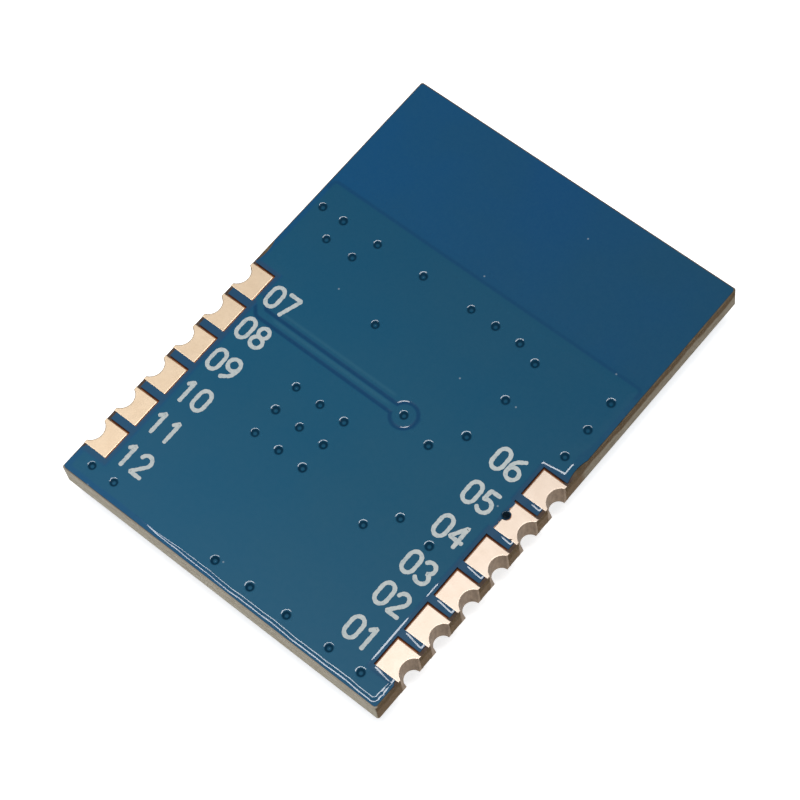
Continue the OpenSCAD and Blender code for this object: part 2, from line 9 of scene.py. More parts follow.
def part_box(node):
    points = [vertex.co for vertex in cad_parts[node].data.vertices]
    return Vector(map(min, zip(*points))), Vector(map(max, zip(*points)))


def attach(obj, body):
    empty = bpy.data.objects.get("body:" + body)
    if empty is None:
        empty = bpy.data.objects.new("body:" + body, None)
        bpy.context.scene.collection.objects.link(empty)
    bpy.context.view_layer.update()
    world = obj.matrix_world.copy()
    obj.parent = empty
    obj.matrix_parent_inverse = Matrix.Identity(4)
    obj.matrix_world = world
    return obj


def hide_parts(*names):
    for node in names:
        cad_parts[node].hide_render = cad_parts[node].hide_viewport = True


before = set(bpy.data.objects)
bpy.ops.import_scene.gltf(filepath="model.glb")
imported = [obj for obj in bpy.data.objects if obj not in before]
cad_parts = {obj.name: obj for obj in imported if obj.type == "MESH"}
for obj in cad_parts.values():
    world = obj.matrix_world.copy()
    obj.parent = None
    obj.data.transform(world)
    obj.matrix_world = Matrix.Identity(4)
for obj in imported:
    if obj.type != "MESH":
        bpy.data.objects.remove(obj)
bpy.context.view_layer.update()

MM = 0.001
rng = np.random.default_rng(7)


def box_mm(node):
    """Corners of a CAD node's box, in millimetres."""
    lo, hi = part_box(node)
    return np.array(lo) / MM, np.array(hi) / MM


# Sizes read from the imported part, in millimetres
core_lo, core_hi = box_mm("core")
EDGE_X, END_Y = core_hi[0], core_hi[1]
FRONT_Z, BACK_Z = core_lo[2], core_hi[2]
RIM_X, RIM_Y, MASK_HI = box_mm("back_mask")[1]
LAND_LOW, LAND_TOP = (corner[2] for corner in box_mm("terminal_1"))
# The lands of the terminals: the right row from its lower end up, then the left row down again
LANDS = []
for i in range(1, 13):
    lo, hi = box_mm(f"terminal_{i}")
    LANDS.append({"side": 1 if hi[0] > 0 else -1, "y": (lo[1] + hi[1]) / 2,
                  "half": (hi[1] - lo[1]) / 2, "length": hi[0] - lo[0]})
RIGHT_LANDS = LANDS[:6]
ROW_LOW = LANDS[0]["y"] - LANDS[0]["half"]
ROW_TOP = LANDS[5]["y"] + LANDS[5]["half"]
LAND_X = EDGE_X - LANDS[0]["length"]
# A coordinate beyond the board on any side
BEYOND = 9


def solid_centres(node, reach):
    """Plan centres of the separate round solids of a CAD node, each smaller than reach."""
    points = np.array([v.co[:2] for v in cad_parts[node].data.vertices]) / MM
    found = []
    while len(points):
        near = np.hypot(*(points - points[0]).T) < reach
        group = points[near]
        found.append((group.min(0) + group.max(0)) / 2)
        points = points[~near]
    return np.array(sorted(map(tuple, found)))


VIAS = solid_centres("via_barrels", reach=0.4)
# The via in the ground terminal's land is open, and the mask covers the others
GROUND = LANDS[4]
ground_gap = np.hypot(VIAS[:, 0] - LAND_X, VIAS[:, 1] - GROUND["y"])
GROUND_VIA = VIAS[ground_gap.argmin()]
TENTED = np.delete(VIAS, ground_gap.argmin(), axis=0)

# The ground copper under the mask, with sharper corners than in the CAD, as the mask shows them
POUR_INSET, POUR_R, CLEAR = 0.2, 0.1, 0.2
POUR_X = EDGE_X - POUR_INSET
POUR_LOW, POUR_TOP = (corner[1] for corner in box_mm("back_copper"))
WINDOW_X, WINDOW_LOW, WINDOW_TOP = LAND_X - CLEAR, ROW_LOW - CLEAR, ROW_TOP + CLEAR

# The long trace: in from terminal 7, across at 45 degrees and on to the signal via
SIGNAL_SPOT, TRACE_RISE, TRACE_LEAD = (0.87, -0.86), 0.2, 0.15
SIGNAL_VIA = TENTED[np.hypot(*(TENTED - SIGNAL_SPOT).T).argmin()]
bend_x, bend_y = TRACE_LEAD - LAND_X, LANDS[6]["y"] - LANDS[6]["half"] + TRACE_RISE
TRACE = [(-LAND_X, bend_y), (bend_x, bend_y),
         (bend_x + abs(bend_y - SIGNAL_VIA[1]), SIGNAL_VIA[1]), tuple(SIGNAL_VIA)]
# The gap beside the trace looks narrower than it is in the copper, and the via's land wider
TRACE_HALF, VIA_LAND, TRACE_GAP = 0.11, 0.36, 0.1

# Dips in the long edges above the rows: depth and half length of an arc, then its middle and radius
DIP_DEPTH, DIP_HALF, DIP_ABOVE = 0.07, 0.425, 0.525
DIP_Y = ROW_TOP + DIP_ABOVE
DIP_R = (DIP_HALF ** 2 + DIP_DEPTH ** 2) / (2 * DIP_DEPTH)

# Level of the mask's face over copper, under the CAD top by the room for ink
INK_ROOM, INK_T = 0.003, 0.0024
MASK_TOP = MASK_HI - INK_ROOM


# Mesh helpers

def piece(name, verts, faces, material, nodes=(), smooth=True, attributes=None, normals=None):
    """A mesh in millimetres that rides on the part and stands for the named CAD nodes."""
    mesh = bpy.data.meshes.new(name)
    mesh.from_pydata([tuple(v) for v in np.asarray(verts, float) * MM], [], [tuple(f) for f in faces])
    mesh.update()
    for key, values in (attributes or {}).items():
        layer = mesh.attributes.new(key, "FLOAT", "POINT")
        layer.data.foreach_set("value", np.asarray(values, np.float32))
    obj = place_piece(name, mesh, material, nodes, smooth)
    if normals is not None:
        mesh.normals_split_custom_set_from_vertices([tuple(n) for n in normals])
    return obj


def slope_normals(height, x, y, step=0.002):
    """Normals of a height field at the points (x, y), from its slopes there."""
    along_x = (height(x + step, y) - height(x - step, y)) / (2 * step)
    along_y = (height(x, y + step) - height(x, y - step)) / (2 * step)
    normals = np.stack([-along_x, -along_y, np.ones_like(along_x)], -1)
    return normals / np.linalg.norm(normals, axis=-1, keepdims=True)


def add_object(name, data):
    obj = bpy.data.objects.new(name, data)
    bpy.context.scene.collection.objects.link(obj)
    return obj


def place_piece(name, mesh, material, nodes, smooth=True):
    """Puts a mesh into the scene as a piece of the part."""
    for polygon in mesh.polygons:
        polygon.use_smooth = smooth
    mesh.materials.append(material)
    obj = add_object(name, mesh)
    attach(obj, "root")
    if nodes:
        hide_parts(*nodes)
    return obj


def loop_faces(base, loops, n):
    """Quads between closed loops of n points each, numbered on from base."""
    starts = range(base, base + (loops - 1) * n, n)
    return [(a + k, a + n + k, a + n + (k + 1) % n, a + (k + 1) % n) for a in starts for k in range(n)]


def smooth_step(t):
    """From 0 to 1 with level ends."""
    t = np.clip(t, 0, 1)
    return t * t * (3 - 2 * t)


def round_box(x, y, lo, hi, r):
    """Distance to a rounded rectangle, negative inside."""
    qx = np.abs(x - (lo[0] + hi[0]) / 2) - (hi[0] - lo[0]) / 2 + r
    qy = np.abs(y - (lo[1] + hi[1]) / 2) - (hi[1] - lo[1]) / 2 + r
    return np.hypot(np.maximum(qx, 0), np.maximum(qy, 0)) + np.minimum(np.maximum(qx, qy), 0) - r


def line_distance(x, y, points):
    """Distance to a line through the points."""
    best = np.full(np.shape(x), 1e3)
    for (ax, ay), (bx, by) in zip(points, points[1:]):
        dx, dy = bx - ax, by - ay
        t = np.clip(((x - ax) * dx + (y - ay) * dy) / (dx * dx + dy * dy), 0, 1)
        best = np.minimum(best, np.hypot(x - ax - t * dx, y - ay - t * dy))
    return best


# The mask's openings: printed a little towards +Y and -X, so a gap shows above each land and none below it
GAP_ABOVE, GAP_RIGHT_ROW, GAP_LEFT_ROW = 0.068, 0.055, 0.03
# Beside the rows the mask also ends further from the board's edge
ROW_SETBACK = 0.06


def opening(land):
    """Inner, lower and upper side of the mask's opening round a land, as if it were in the right row."""
    inner = LAND_X - (GAP_RIGHT_ROW if land["side"] > 0 else GAP_LEFT_ROW)
    return inner, land["y"] - land["half"], land["y"] + land["half"] + GAP_ABOVE


# Below this line the copper's edge wanders
WANDER_Y = -7.3
# The copper's neck to the ground terminal: half width, and ends either side of the window's edge
NECK_HALF, NECK_IN, NECK_OUT = 0.48, 0.3, 0.12


def pour_distance(x, y):
    """Distance to the ground copper, negative inside. Its lower edge wanders a little."""
    wave = 0.01 * np.sin(2.3 * x + 0.6) + 0.006 * np.sin(5.1 * x) + 0.003 * np.sin(11 * x + 2)
    bent = y + wave * smooth_step((WANDER_Y - y) / 0.2)
    # Just above the right row the copper ends further in, and the window's upper end slants
    above_row = smooth_step((y - WINDOW_TOP + 0.3) / 0.2) * smooth_step((WINDOW_TOP + 1.3 - y) / 0.6)
    inward = 0.12 * above_row * (x > 4)
    slant = 0.09 * smooth_step((x - WINDOW_X) / 0.8) * (y > GROUND["y"])
    d = round_box(x + inward, bent, (-POUR_X, POUR_LOW), (POUR_X, POUR_TOP), POUR_R)
    window = round_box(np.abs(x), y - slant, (WINDOW_X, WINDOW_LOW), (BEYOND, WINDOW_TOP), 0.06)
    neck = round_box(x, y, (WINDOW_X - NECK_IN, GROUND["y"] - NECK_HALF),
                     (WINDOW_X + NECK_OUT, GROUND["y"] + NECK_HALF), 0.05)
    return np.minimum(np.maximum(d, -window), neck)


def trace_distance(x, y):
    """Distance to the long trace and its via land, negative inside."""
    return np.minimum(line_distance(x, y, TRACE) - TRACE_HALF,
                      np.hypot(x - SIGNAL_VIA[0], y - SIGNAL_VIA[1]) - VIA_LAND)


def cover(x, y):
    """1 over copper and 0 over bare laminate, for the mask's colour."""
    trace = trace_distance(x, y)
    pour = np.maximum(pour_distance(x, y), TRACE_GAP - trace)
    return np.maximum(smooth_step((0.04 - pour) / 0.08), smooth_step((0.04 - trace) / 0.08))


def near(value, low, high, soft):
    """1 between low and high, falling to 0 over the soft length at both ends."""
    return smooth_step((value - low) / soft + 0.5) * smooth_step((high - value) / soft + 0.5)


def right_row(x, y):
    """1 in the long window of bare laminate round the right row of lands."""
    top = WINDOW_TOP - 0.1 - 0.08 * smooth_step((x - LAND_X) / 0.1)
    return near(x, WINDOW_X - 0.35, BEYOND, 0.1) * near(y, WINDOW_LOW - 0.1, top, 0.1)


def row_corner(x, y):
    """1 round the upper end of that window."""
    low = WINDOW_TOP - 0.15 - 0.1 * smooth_step((x - LAND_X) / 0.1)
    return near(x, WINDOW_X - 0.15, BEYOND, 0.1) * near(y, low, WINDOW_TOP + 0.5, 0.2)


def lower_end(y):
    """1 at the lower end of the copper."""
    return smooth_step((POUR_LOW + 0.3 - y) / 0.1)


def slope_width(x, y):
    """Width of the slope in which the mask runs off the copper, short at the right row and the lower end."""
    usual = 0.62
    beside_row = near(x, WINDOW_X - 0.6, BEYOND, 0.2) * near(y, -BEYOND, WINDOW_TOP + 0.5, 0.2)
    tight = beside_row * (1 - lower_end(y))
    end = 0.07 + 0.09 * smooth_step((x + 3.0) / 2.4)
    window = np.maximum(right_row(x, y), row_corner(x, y))
    return usual - (0.48 + 0.06 * window) * tight + (end - usual) * lower_end(y)


# The mask's drop from copper to bare laminate: in general, above the right row, in it, and at the lower end
FULL_DROP, ABOVE_DROP, ROW_DROP, END_DROP = 0.032, 0.016, 0.03, 0.038
# At the inner side of the right row it is a small step, which is deeper in two stretches
STEP_DROP, DEEP_DROP, DEEP_LOWER, DEEP_UPPER = 0.002, 0.0105, (-7.05, -5.45), (-4.77, -4.17)


def slope_drop(x, y):
    """That drop at each point."""
    deep = np.maximum(near(y, *DEEP_LOWER, 0.6), 0.85 * near(y, *DEEP_UPPER, 0.3))
    step = STEP_DROP + (DEEP_DROP - STEP_DROP) * deep
    row = step + (ROW_DROP - step) * smooth_step((x - WINDOW_X - 0.1) / 0.4)
    end = END_DROP * smooth_step((x + 3.5) / 3.0)
    above_row = near(y, WINDOW_TOP + 0.2, WINDOW_TOP + 1.5, 0.3) * near(x, 4.5, BEYOND, 0.4)
    usual = FULL_DROP + (ABOVE_DROP - FULL_DROP) * above_row
    drop = usual + (end - usual) * lower_end(y)
    drop = drop + (row - drop) * right_row(x, y)
    upper = 0.01 + 0.003 * smooth_step((x - EDGE_X + 0.4) / 0.06)
    return drop + (upper - drop) * row_corner(x, y)


# Lips of the mask along the lower sides of the right lands: where each begins and how far it widens
LIP_BEGIN = (0.02, 0.06, 0.12, 0.14, 0.26, 0.3)
LIP_SPREAD = (0.1, 0.09, 0.06, 0.06, 0.05, 0.05)
LIP_RISE, LIP_SLOPE, LIP_LEAST = 0.0105, 0.055, 0.012


def land_lip(x, y, land, begin, spread):
    """1 on the lip below a right land, which widens towards the board's edge."""
    inner, low = opening(land)[:2]
    wide = LIP_LEAST + spread * smooth_step((x - inner - 0.05) / 0.7)
    lip = smooth_step((wide + LIP_SLOPE - low + y) / LIP_SLOPE) * (y < land["y"])
    lip = lip * smooth_step((x - inner - begin) / 0.2)
    return lip * smooth_step((RIM_X - ROW_SETBACK - 0.01 - x) / 0.07)


# Depth of the groove in the gap beside the long trace, and what the ring round its via adds
GROOVE_DEPTH, RING_DEPTH, GROOVE_WIDE, RING_R = 0.0048, 0.0052, 0.06, 0.54
# How far outside the copper's edge the middle of the mask's slope lies
SLOPE_OUT = 0.04


def face_height(x, y):
    """Height of the mask's face without its via dimples."""
    wide, pour, trace = slope_width(x, y), pour_distance(x, y) - SLOPE_OUT, trace_distance(x, y)
    over = smooth_step((wide / 2 - pour) / wide) ** (1 + 0.4 * lower_end(y))
    over = np.maximum(over, 0.7 * smooth_step((0.1 - trace) / 0.2))
    z = MASK_TOP - slope_drop(x, y) * (1 - over)
    ring = smooth_step((RING_R - np.hypot(x - SIGNAL_VIA[0], y - SIGNAL_VIA[1])) / 0.1)
    groove = np.exp(-((trace - TRACE_GAP / 2) / GROOVE_WIDE) ** 2) * smooth_step(-pour / 0.2)
    z = z - (GROOVE_DEPTH + RING_DEPTH * ring) * groove
    for land, begin, spread in zip(RIGHT_LANDS, LIP_BEGIN, LIP_SPREAD):
        z = z + LIP_RISE * land_lip(x, y, land, begin, spread)
    return np.minimum(z, MASK_HI - 0.0005)


def groove_tone(x, y):
    """1 in the windows round the rows of lands, where the mask looks more violet."""
    return smooth_step((np.abs(x) - WINDOW_X) / 0.1) * near(y, WINDOW_LOW, WINDOW_TOP, 0.2)


def gap_tone(x, y):
    """Above 0 in the gaps beside the long trace and along the copper's upper edge: darker colour painted in
    for the shade of the grooves and of the copper's step.
    """
    pour = pour_distance(x, y)
    beside = 0.85 * smooth_step((0.085 - np.abs(trace_distance(x, y) - TRACE_GAP / 2)) / 0.06) * (pour < 0)
    upper = 0.5 * smooth_step((0.09 - np.abs(pour - 0.05)) / 0.07) * (y > POUR_TOP - 0.3)
    return np.maximum(beside, upper)


def painted_sheen_tone(x, y):
    """Above 0 in two bands along the long trace, on it and above its upper gap: a paler tone painted in for
    the sheen its gentle slopes reflect.
    """
    up = y - np.interp(x, *np.transpose(TRACE))
    bands = np.maximum(near(up, -0.03, 0.08, 0.09), near(up, 0.3, 0.39, 0.09))
    return 0.12 * bands * near(x, -4.1, SIGNAL_VIA[0] - 0.6, 0.3)


def mask_tones(x, y):
    """The mask's tones at each point, for its material."""
    return {"cover": cover(x, y), "groove": groove_tone(x, y), "gap": gap_tone(x, y),
            "painted_sheen": painted_sheen_tone(x, y)}


# Materials

class Shader:
    """A procedural material around one Principled shader. Lengths in it are millimetres."""

    def __init__(self, name, **sockets):
        self.mat = bpy.data.materials.new(name)
        self.mat.use_nodes = True
        self.tree = self.mat.node_tree
        self.bsdf = self.tree.nodes["Principled BSDF"]
        for key, value in sockets.items():
            self.put(self.bsdf.inputs[key.replace("_", " ")], value)

    def put(self, socket, value):
        if isinstance(value, bpy.types.NodeSocket):
            self.tree.links.new(value, socket)
        elif socket.type == "RGBA":
            socket.default_value = (*value, 1)
        else:
            socket.default_value = value

    def node(self, kind, values=(), **settings):
        made = self.tree.nodes.new("ShaderNode" + kind)
        for key, value in settings.items():
            setattr(made, key, value)
        for key, value in dict(values).items():
            self.put(made.inputs[key], value)
        return made

    def where(self, stretch=(1, 1, 1)):
        spot = self.node("TexCoord").outputs["Object"]
        scale = tuple(s / MM for s in stretch)
        return self.node("Mapping", {"Vector": spot, "Scale": scale}).outputs[0]

    def noise(self, scale, detail=3.0, rough=0.55, stretch=(1, 1, 1), warp=0.0):
        values = {"Vector": self.where(stretch), "Scale": scale, "Detail": detail, "Roughness": rough,
                  "Distortion": warp}
        return self.node("TexNoise", values).outputs["Fac"]

    def ramp(self, factor, *stops):
        made = self.node("ValToRGB", {"Fac": factor})
        ramp = made.color_ramp
        while len(ramp.elements) < len(stops):
            ramp.elements.new(0.5)
        for element, (position, colour) in zip(ramp.elements, stops):
            element.position = position
            element.color = (*colour, 1)
        return made.outputs["Color"]

    def span(self, value, low, high, to_low=0.0, to_high=1.0):
        values = {"Value": value, "From Min": low, "From Max": high, "To Min": to_low, "To Max": to_high}
        return self.node("MapRange", values).outputs["Result"]

    def maths(self, operation, *values):
        return self.node("Math", enumerate(values), operation=operation).outputs[0]

    def mix(self, factor, a, b):
        return self.node("Mix", {0: factor, 6: a, 7: b}, data_type="RGBA").outputs[2]

    def attribute(self, name):
        return self.node("Attribute", attribute_name=name).outputs["Fac"]

    def axis(self, source, index):
        return self.node("SeparateXYZ", {"Vector": source}).outputs[index]

    def bump(self, height, depth):
        values = {"Height": height, "Distance": depth * MM, "Strength": 1.0}
        self.put(self.bsdf.inputs["Normal"], self.node("Bump", values).outputs[0])

    def colour(self, value):
        self.put(self.bsdf.inputs["Base Color"], value)

    def roughness(self, value):
        self.put(self.bsdf.inputs["Roughness"], value)


def mask_material(name, covered):
    """Blue solder mask: glossy, faintly mottled, violet-blue over bare laminate and greener over copper."""
    s = Shader(name, Specular_IOR_Level=0.06, Coat_Roughness=0.04, Coat_IOR=1.6)
    amount, place = covered(s), s.where()
    across, along = s.axis(place, 0), s.axis(place, 1)
    bare = s.ramp(s.noise(0.35, 2), (0.35, (0.002, 0.068, 0.186)), (0.65, (0.0045, 0.07, 0.17)))
    bare = s.mix(s.span(across, 0, 6, 0.0, 0.2), bare, (0.006, 0.074, 0.07))
    bare = s.mix(s.span(across, -6, 0, 0.1, 0.0), bare, (0.0, 0.11, 0.25))
    copper = s.ramp(s.noise(0.3, 2), (0.35, (0.0055, 0.088, 0.17)), (0.65, (0.011, 0.092, 0.166)))
    tone = s.mix(amount, bare, copper)
    hole = s.attribute("hole")
    s.put(s.bsdf.inputs["Coat Weight"], s.span(hole, 0, 1, 1.0, 0.25))
    # Over that: the rows' windows, slow turns along and across the board, its two ends, then finer tones
    # with painted sheen, painted shade and a painted highlight among them
    layers = [
        (s.maths("MULTIPLY", s.attribute("groove"), s.span(amount, 0, 1, 1, 0)), (0.021, 0.066, 0.142)),
        (s.span(along, -8, 8, 0.22, 0.0), (0.01, 0.15, 0.3)),
        (s.span(across, -6, 6, 0.0, 0.16), (0.018, 0.05, 0.07)),
        (s.span(along, -8, -3, 0.09, 0.0), (0.12, 0.25, 0.37)),
        (s.maths("MULTIPLY", amount, s.span(along, -1, 3, 0.0, 0.33)), (0.0, 0.06, 0.14)),
        # Painted sheen: paler bands along the trace, for the reflection on its slopes
        (s.attribute("painted_sheen"), (0.09, 0.26, 0.33)),
        # Painted shade in the trace's gaps and at the copper's upper edge
        (s.attribute("gap"), (0.001, 0.048, 0.13)),
        # Darker where the mask sinks over the vias' holes, and painted shade on the mask's walls
        (hole, (0.0004, 0.026, 0.06)),
        # Painted shade of the open via's hole
        (s.attribute("open"), (0.0035, 0.005, 0.008)),
        (s.span(s.noise(14, 4, 0.6), 0.3, 0.7, 0.0, 0.12), (0.02, 0.12, 0.2)),
    ]
    for share, colour in layers:
        tone = s.mix(share, tone, colour)
    # A few specks of dust
    cells = s.node("TexVoronoi", {"Vector": place, "Scale": 0.62}, voronoi_dimensions="2D")
    dusty = s.maths("GREATER_THAN", s.axis(cells.outputs["Color"], 0), 0.84)
    speck = s.maths("MULTIPLY", s.span(cells.outputs["Distance"], 0.022, 0.012), dusty)
    s.colour(s.mix(s.maths("MULTIPLY", speck, 0.45), tone, (0.42, 0.5, 0.55)))
    s.roughness(s.span(s.noise(5, 3), 0.3, 0.7, 0.24, 0.32))
    s.bump(s.noise(2.2, 2), 0.0012)
    return s.mat


def laminate_material():
    """Glass-fibre board: brown resin under the faces, painted darker with shade in the narrow gaps beside
    the lands, pale torn glass on the ends and olive routed sides.
    """
    s = Shader("laminate", IOR=1.5, Specular_IOR_Level=0.1)
    place = s.where()
    normal = s.node("NewGeometry").outputs["Normal"]
    along, height = s.axis(place, 1), s.span(s.axis(place, 2), FRONT_Z, BACK_Z)
    plies = s.noise(1.0, 3, 0.6, (1.2, 1.2, 22), 0.4)
    fibres = s.noise(1.0, 4, 0.65, (6, 6, 60), 0.8)
    blotch = s.noise(1.3, 3, 0.6)
    end = s.ramp(plies, (0.3, (0.47, 0.405, 0.29)), (0.5, (0.65, 0.59, 0.465)),
                 (0.72, (0.8, 0.755, 0.645)))
    tan = s.ramp(plies, (0.3, (0.265, 0.215, 0.145)), (0.7, (0.45, 0.39, 0.295)))
    olive = s.ramp(fibres, (0.3, (0.155, 0.097, 0.048)), (0.7, (0.29, 0.19, 0.104)))
    burnt = s.ramp(fibres, (0.3, (0.088, 0.05, 0.017)), (0.7, (0.174, 0.106, 0.041)))
    wander = s.maths("ADD", height, s.span(blotch, 0.3, 0.7, -0.1, 0.1))
    past_row = s.span(along, WINDOW_TOP + 0.4, WINDOW_TOP + 0.6)
    side = s.mix(past_row, olive, tan)
    side = s.mix(s.span(wander, 0.56, 0.7), side, burnt)
    facing = s.span(s.maths("ABSOLUTE", s.axis(normal, 1)), 0.6, 0.9)
    cut = s.mix(facing, side, end)
    # Laminate in the narrow gaps beside the lands: its brown, painted darker with shade
    gap = s.ramp(s.noise(4, 3), (0.3, (0.03, 0.008, 0.002)), (0.7, (0.085, 0.025, 0.007)))
    rim = s.ramp(s.noise(4, 3), (0.3, (0.085, 0.06, 0.034)), (0.7, (0.17, 0.125, 0.075)))
    bottom = s.span(along, -END_Y + 0.12, -END_Y + 0.06)
    above = s.span(along, WINDOW_TOP, WINDOW_TOP + 0.3)
    outside = s.maths("MAXIMUM", above, s.span(along, WINDOW_LOW, WINDOW_LOW - 0.2))
    outer = s.span(s.maths("ABSOLUTE", s.axis(place, 0)), RIM_X - 0.12, RIM_X - 0.07)
    seam = s.ramp(fibres, (0.3, (0.056, 0.037, 0.026)), (0.7, (0.118, 0.08, 0.064)))
    flat = s.mix(outside, s.mix(outer, gap, seam), s.mix(bottom, rim, (0.36, 0.32, 0.26)))
    level = s.span(s.maths("ABSOLUTE", s.axis(normal, 2)), 0.7, 0.95)
    s.colour(s.mix(level, cut, flat))
    s.roughness(s.span(fibres, 0.3, 0.7, 0.55, 0.85))
    s.bump(s.maths("ADD", fibres, s.noise(16, 3, 0.7)), 0.012)
    return s.mat


def gold_material():
    """Gold over nickel: satin on the lands, the right row painted paler and cooler and the left warmer for
    the different light each reflects, dull and dark on the drilled walls, partly painted shade.
    """
    s = Shader("gold_plating", Metallic=1.0)
    wall = s.attribute("wall")
    blotch = s.noise(2.5, 3)
    # One gold in both rows: the right painted paler and cooler, the left warmer, for the different light
    # each row reflects
    right = s.ramp(blotch, (0.35, (0.625, 0.512, 0.42)), (0.65, (0.655, 0.545, 0.456)))
    left = s.ramp(blotch, (0.35, (0.735, 0.572, 0.405)), (0.65, (0.77, 0.606, 0.436)))
    flat = s.mix(s.span(s.axis(s.where(), 0), -4, 4), left, right)
    scores = s.noise(1, 4, 0.65, (9, 9, 3))
    # Drilled walls: their own rough, dull plating, painted darker still with the shade inside the half holes
    drilled = s.ramp(scores, (0.3, (0.186, 0.133, 0.09)), (0.7, (0.305, 0.228, 0.164)))
    s.colour(s.mix(wall, flat, drilled))
    satin = s.span(s.noise(30, 2), 0.3, 0.7, 0.42, 0.48)
    s.roughness(s.maths("ADD", satin, s.span(wall, 0, 1, 0, 0.2)))
    s.bump(s.noise(45, 3, 0.7), 0.0012)
    return s.mat


def resin_glow_material():
    """Bare resin close to the lands, painted dark orange: the shade beside them and the gold light they
    throw on it.
    """
    s = Shader("resin_with_painted_land_glow", IOR=1.5, Specular_IOR_Level=0.2, Roughness=0.5)
    # Painted shade, with painted orange light from the gold lands
    s.colour(s.ramp(s.noise(3, 3), (0.35, (0.17, 0.05, 0.013)), (0.65, (0.42, 0.145, 0.04))))
    return s.mat


def metal_material(name, dark, pale, rough, grain=20.0, depth=0.002):
    """Plain metal with a fine grain."""
    s = Shader(name, Metallic=1.0)
    s.colour(s.ramp(s.noise(grain / 4, 3), (0.3, dark), (0.7, pale)))
    s.roughness(s.span(s.noise(grain, 3), 0.3, 0.7, rough - 0.07, rough + 0.07))
    s.bump(s.noise(grain, 3, 0.6), depth)
    return s.mat


def moulded_material(name, dark, pale, rough, grain=25.0):
    """Moulded or fired stuff with fine specks."""
    s = Shader(name, IOR=1.5)
    speck = s.noise(grain, 4, 0.65)
    s.colour(s.ramp(speck, (0.3, dark), (0.7, pale)))
    s.roughness(s.span(s.noise(grain * 0.6, 3), 0.3, 0.7, rough - 0.08, rough + 0.08))
    s.bump(speck, 0.003)
    return s.mat


def ink_material():
    """Printed marking ink: off-white, matt, thin at places."""
    s = Shader("marking_ink", IOR=1.45)
    thin = s.noise(11, 4, 0.65)
    s.colour(s.ramp(thin, (0.28, (0.33, 0.41, 0.44)), (0.45, (0.5, 0.55, 0.55)), (0.7, (0.6, 0.63, 0.61))))
    s.roughness(s.span(thin, 0.3, 0.7, 0.5, 0.7))
    s.bump(s.noise(20, 3), 0.004)
    return s.mat


def height_cover(s):
    """On the component side the mask stands one foil lower over copper."""
    return s.span(s.axis(s.where(), 2), FRONT_Z - 0.055, FRONT_Z - 0.03, 1.0, 0.0)


MASK = mask_material("solder_mask", lambda s: s.attribute("cover"))
FRONT_MASK = mask_material("solder_mask_front", height_cover)
LAMINATE = laminate_material()
GOLD = gold_material()
RESIN_GLOW = resin_glow_material()
COPPER = metal_material("copper", (0.55, 0.25, 0.13), (0.72, 0.38, 0.22), 0.4)
TIN = metal_material("tinned_leads", (0.6, 0.59, 0.56), (0.74, 0.73, 0.7), 0.33)
LID = metal_material("crystal_lid_metal", (0.62, 0.58, 0.49), (0.72, 0.68, 0.59), 0.28, 9.0, 0.001)
END_METAL = metal_material("end_metal", (0.6, 0.6, 0.58), (0.76, 0.75, 0.72), 0.36)
SOLDER = metal_material("solder", (0.55, 0.56, 0.57), (0.74, 0.75, 0.76), 0.24, 7.0, 0.006)
MOULD = moulded_material("mould_compound", (0.01, 0.01, 0.011), (0.03, 0.03, 0.032), 0.55)
CRYSTAL = moulded_material("crystal_ceramic", (0.03, 0.026, 0.022), (0.062, 0.055, 0.048), 0.5)
FERRITE = moulded_material("ferrite", (0.045, 0.042, 0.04), (0.105, 0.1, 0.094), 0.6, 18.0)
COIL = moulded_material("coil_ceramic", (0.52, 0.54, 0.53), (0.7, 0.71, 0.68), 0.45)
CAPACITOR = moulded_material("capacitor_ceramic", (0.26, 0.165, 0.085), (0.4, 0.275, 0.155), 0.42)
RESISTOR = moulded_material("resistor_ceramic", (0.72, 0.71, 0.67), (0.84, 0.83, 0.79), 0.5)
FILM = moulded_material("resistor_film", (0.008, 0.008, 0.009), (0.022, 0.022, 0.024), 0.3)
INK = ink_material()


# The mask of the solder side: a graded grid that follows the copper, open at the lands

def graded(stops):
    """Grid lines from (start, spacing) stops, of which the last is the end."""
    lines = []
    for (a, step), (b, _) in zip(stops, stops[1:]):
        lines.extend(np.linspace(a, b, max(1, round((b - a) / step)), endpoint=False))
    return np.array(lines + [stops[-1][0]])


def with_lines(lines, exact, room=0.012):
    """The lines and the exact values, without the lines that are within the room of one."""
    kept = [v for v in lines if min(abs(v - e) for e in exact) > room]
    return np.array(sorted(kept + list(exact)))


# Closest spacing of the lines along Y, and how far the mask keeps from the board's edge at the dips
FINE, MASK_INSET = 0.0125, 0.04
# Beyond this line the grid is drawn in to the rim, which has routed corners
BEND_X, CORNER_R = 5.4, 0.08
# Near a via the face is cut away for a dimple. Round a covered via the cut edge has no wall
TENT_CUT, OPEN_CUT, TENT_ROOM = 0.22, 0.16, 0.36


def mask_lines():
    """Grid lines along X and Y, closer where the mask bends, and on the sides of the openings."""
    xs = graded([(-RIM_X, 0.04), (-5.58, 0.06), (-5.0, 0.04), (-4.1, 0.085), (0.45, 0.022), (1.3, 0.085),
                 (4.5, 0.04), (4.74, 0.012), (4.97, 0.04), (5.5, 0.014), (RIM_X, 0)])
    xs = with_lines(xs, [-RIM_X, GAP_LEFT_ROW - LAND_X, LAND_X - GAP_RIGHT_ROW, RIM_X])
    ys = graded([(-RIM_Y, FINE), (-7.66, 0.025), (-7.4, FINE), (-7.1, 0.05), (-1.4, 0.03), (-1.13, FINE),
                 (-0.44, 0.03), (0.1, 0.05), (0.27, FINE), (0.56, 0.05), (1.3, 0.085),
                 (POUR_TOP - 0.5, 0.06), (POUR_TOP - 0.14, 0.018), (POUR_TOP + 0.2, 0.06),
                 (POUR_TOP + 0.5, 0.15), (7.8, 0.05), (RIM_Y, 0)])
    exact = {-RIM_Y, RIM_Y}
    for land in RIGHT_LANDS:
        low, high = opening(land)[1:]
        exact |= {low, high} | {low - FINE * k for k in range(1, 12)}
    return xs, with_lines(ys, sorted(exact), 0.006)


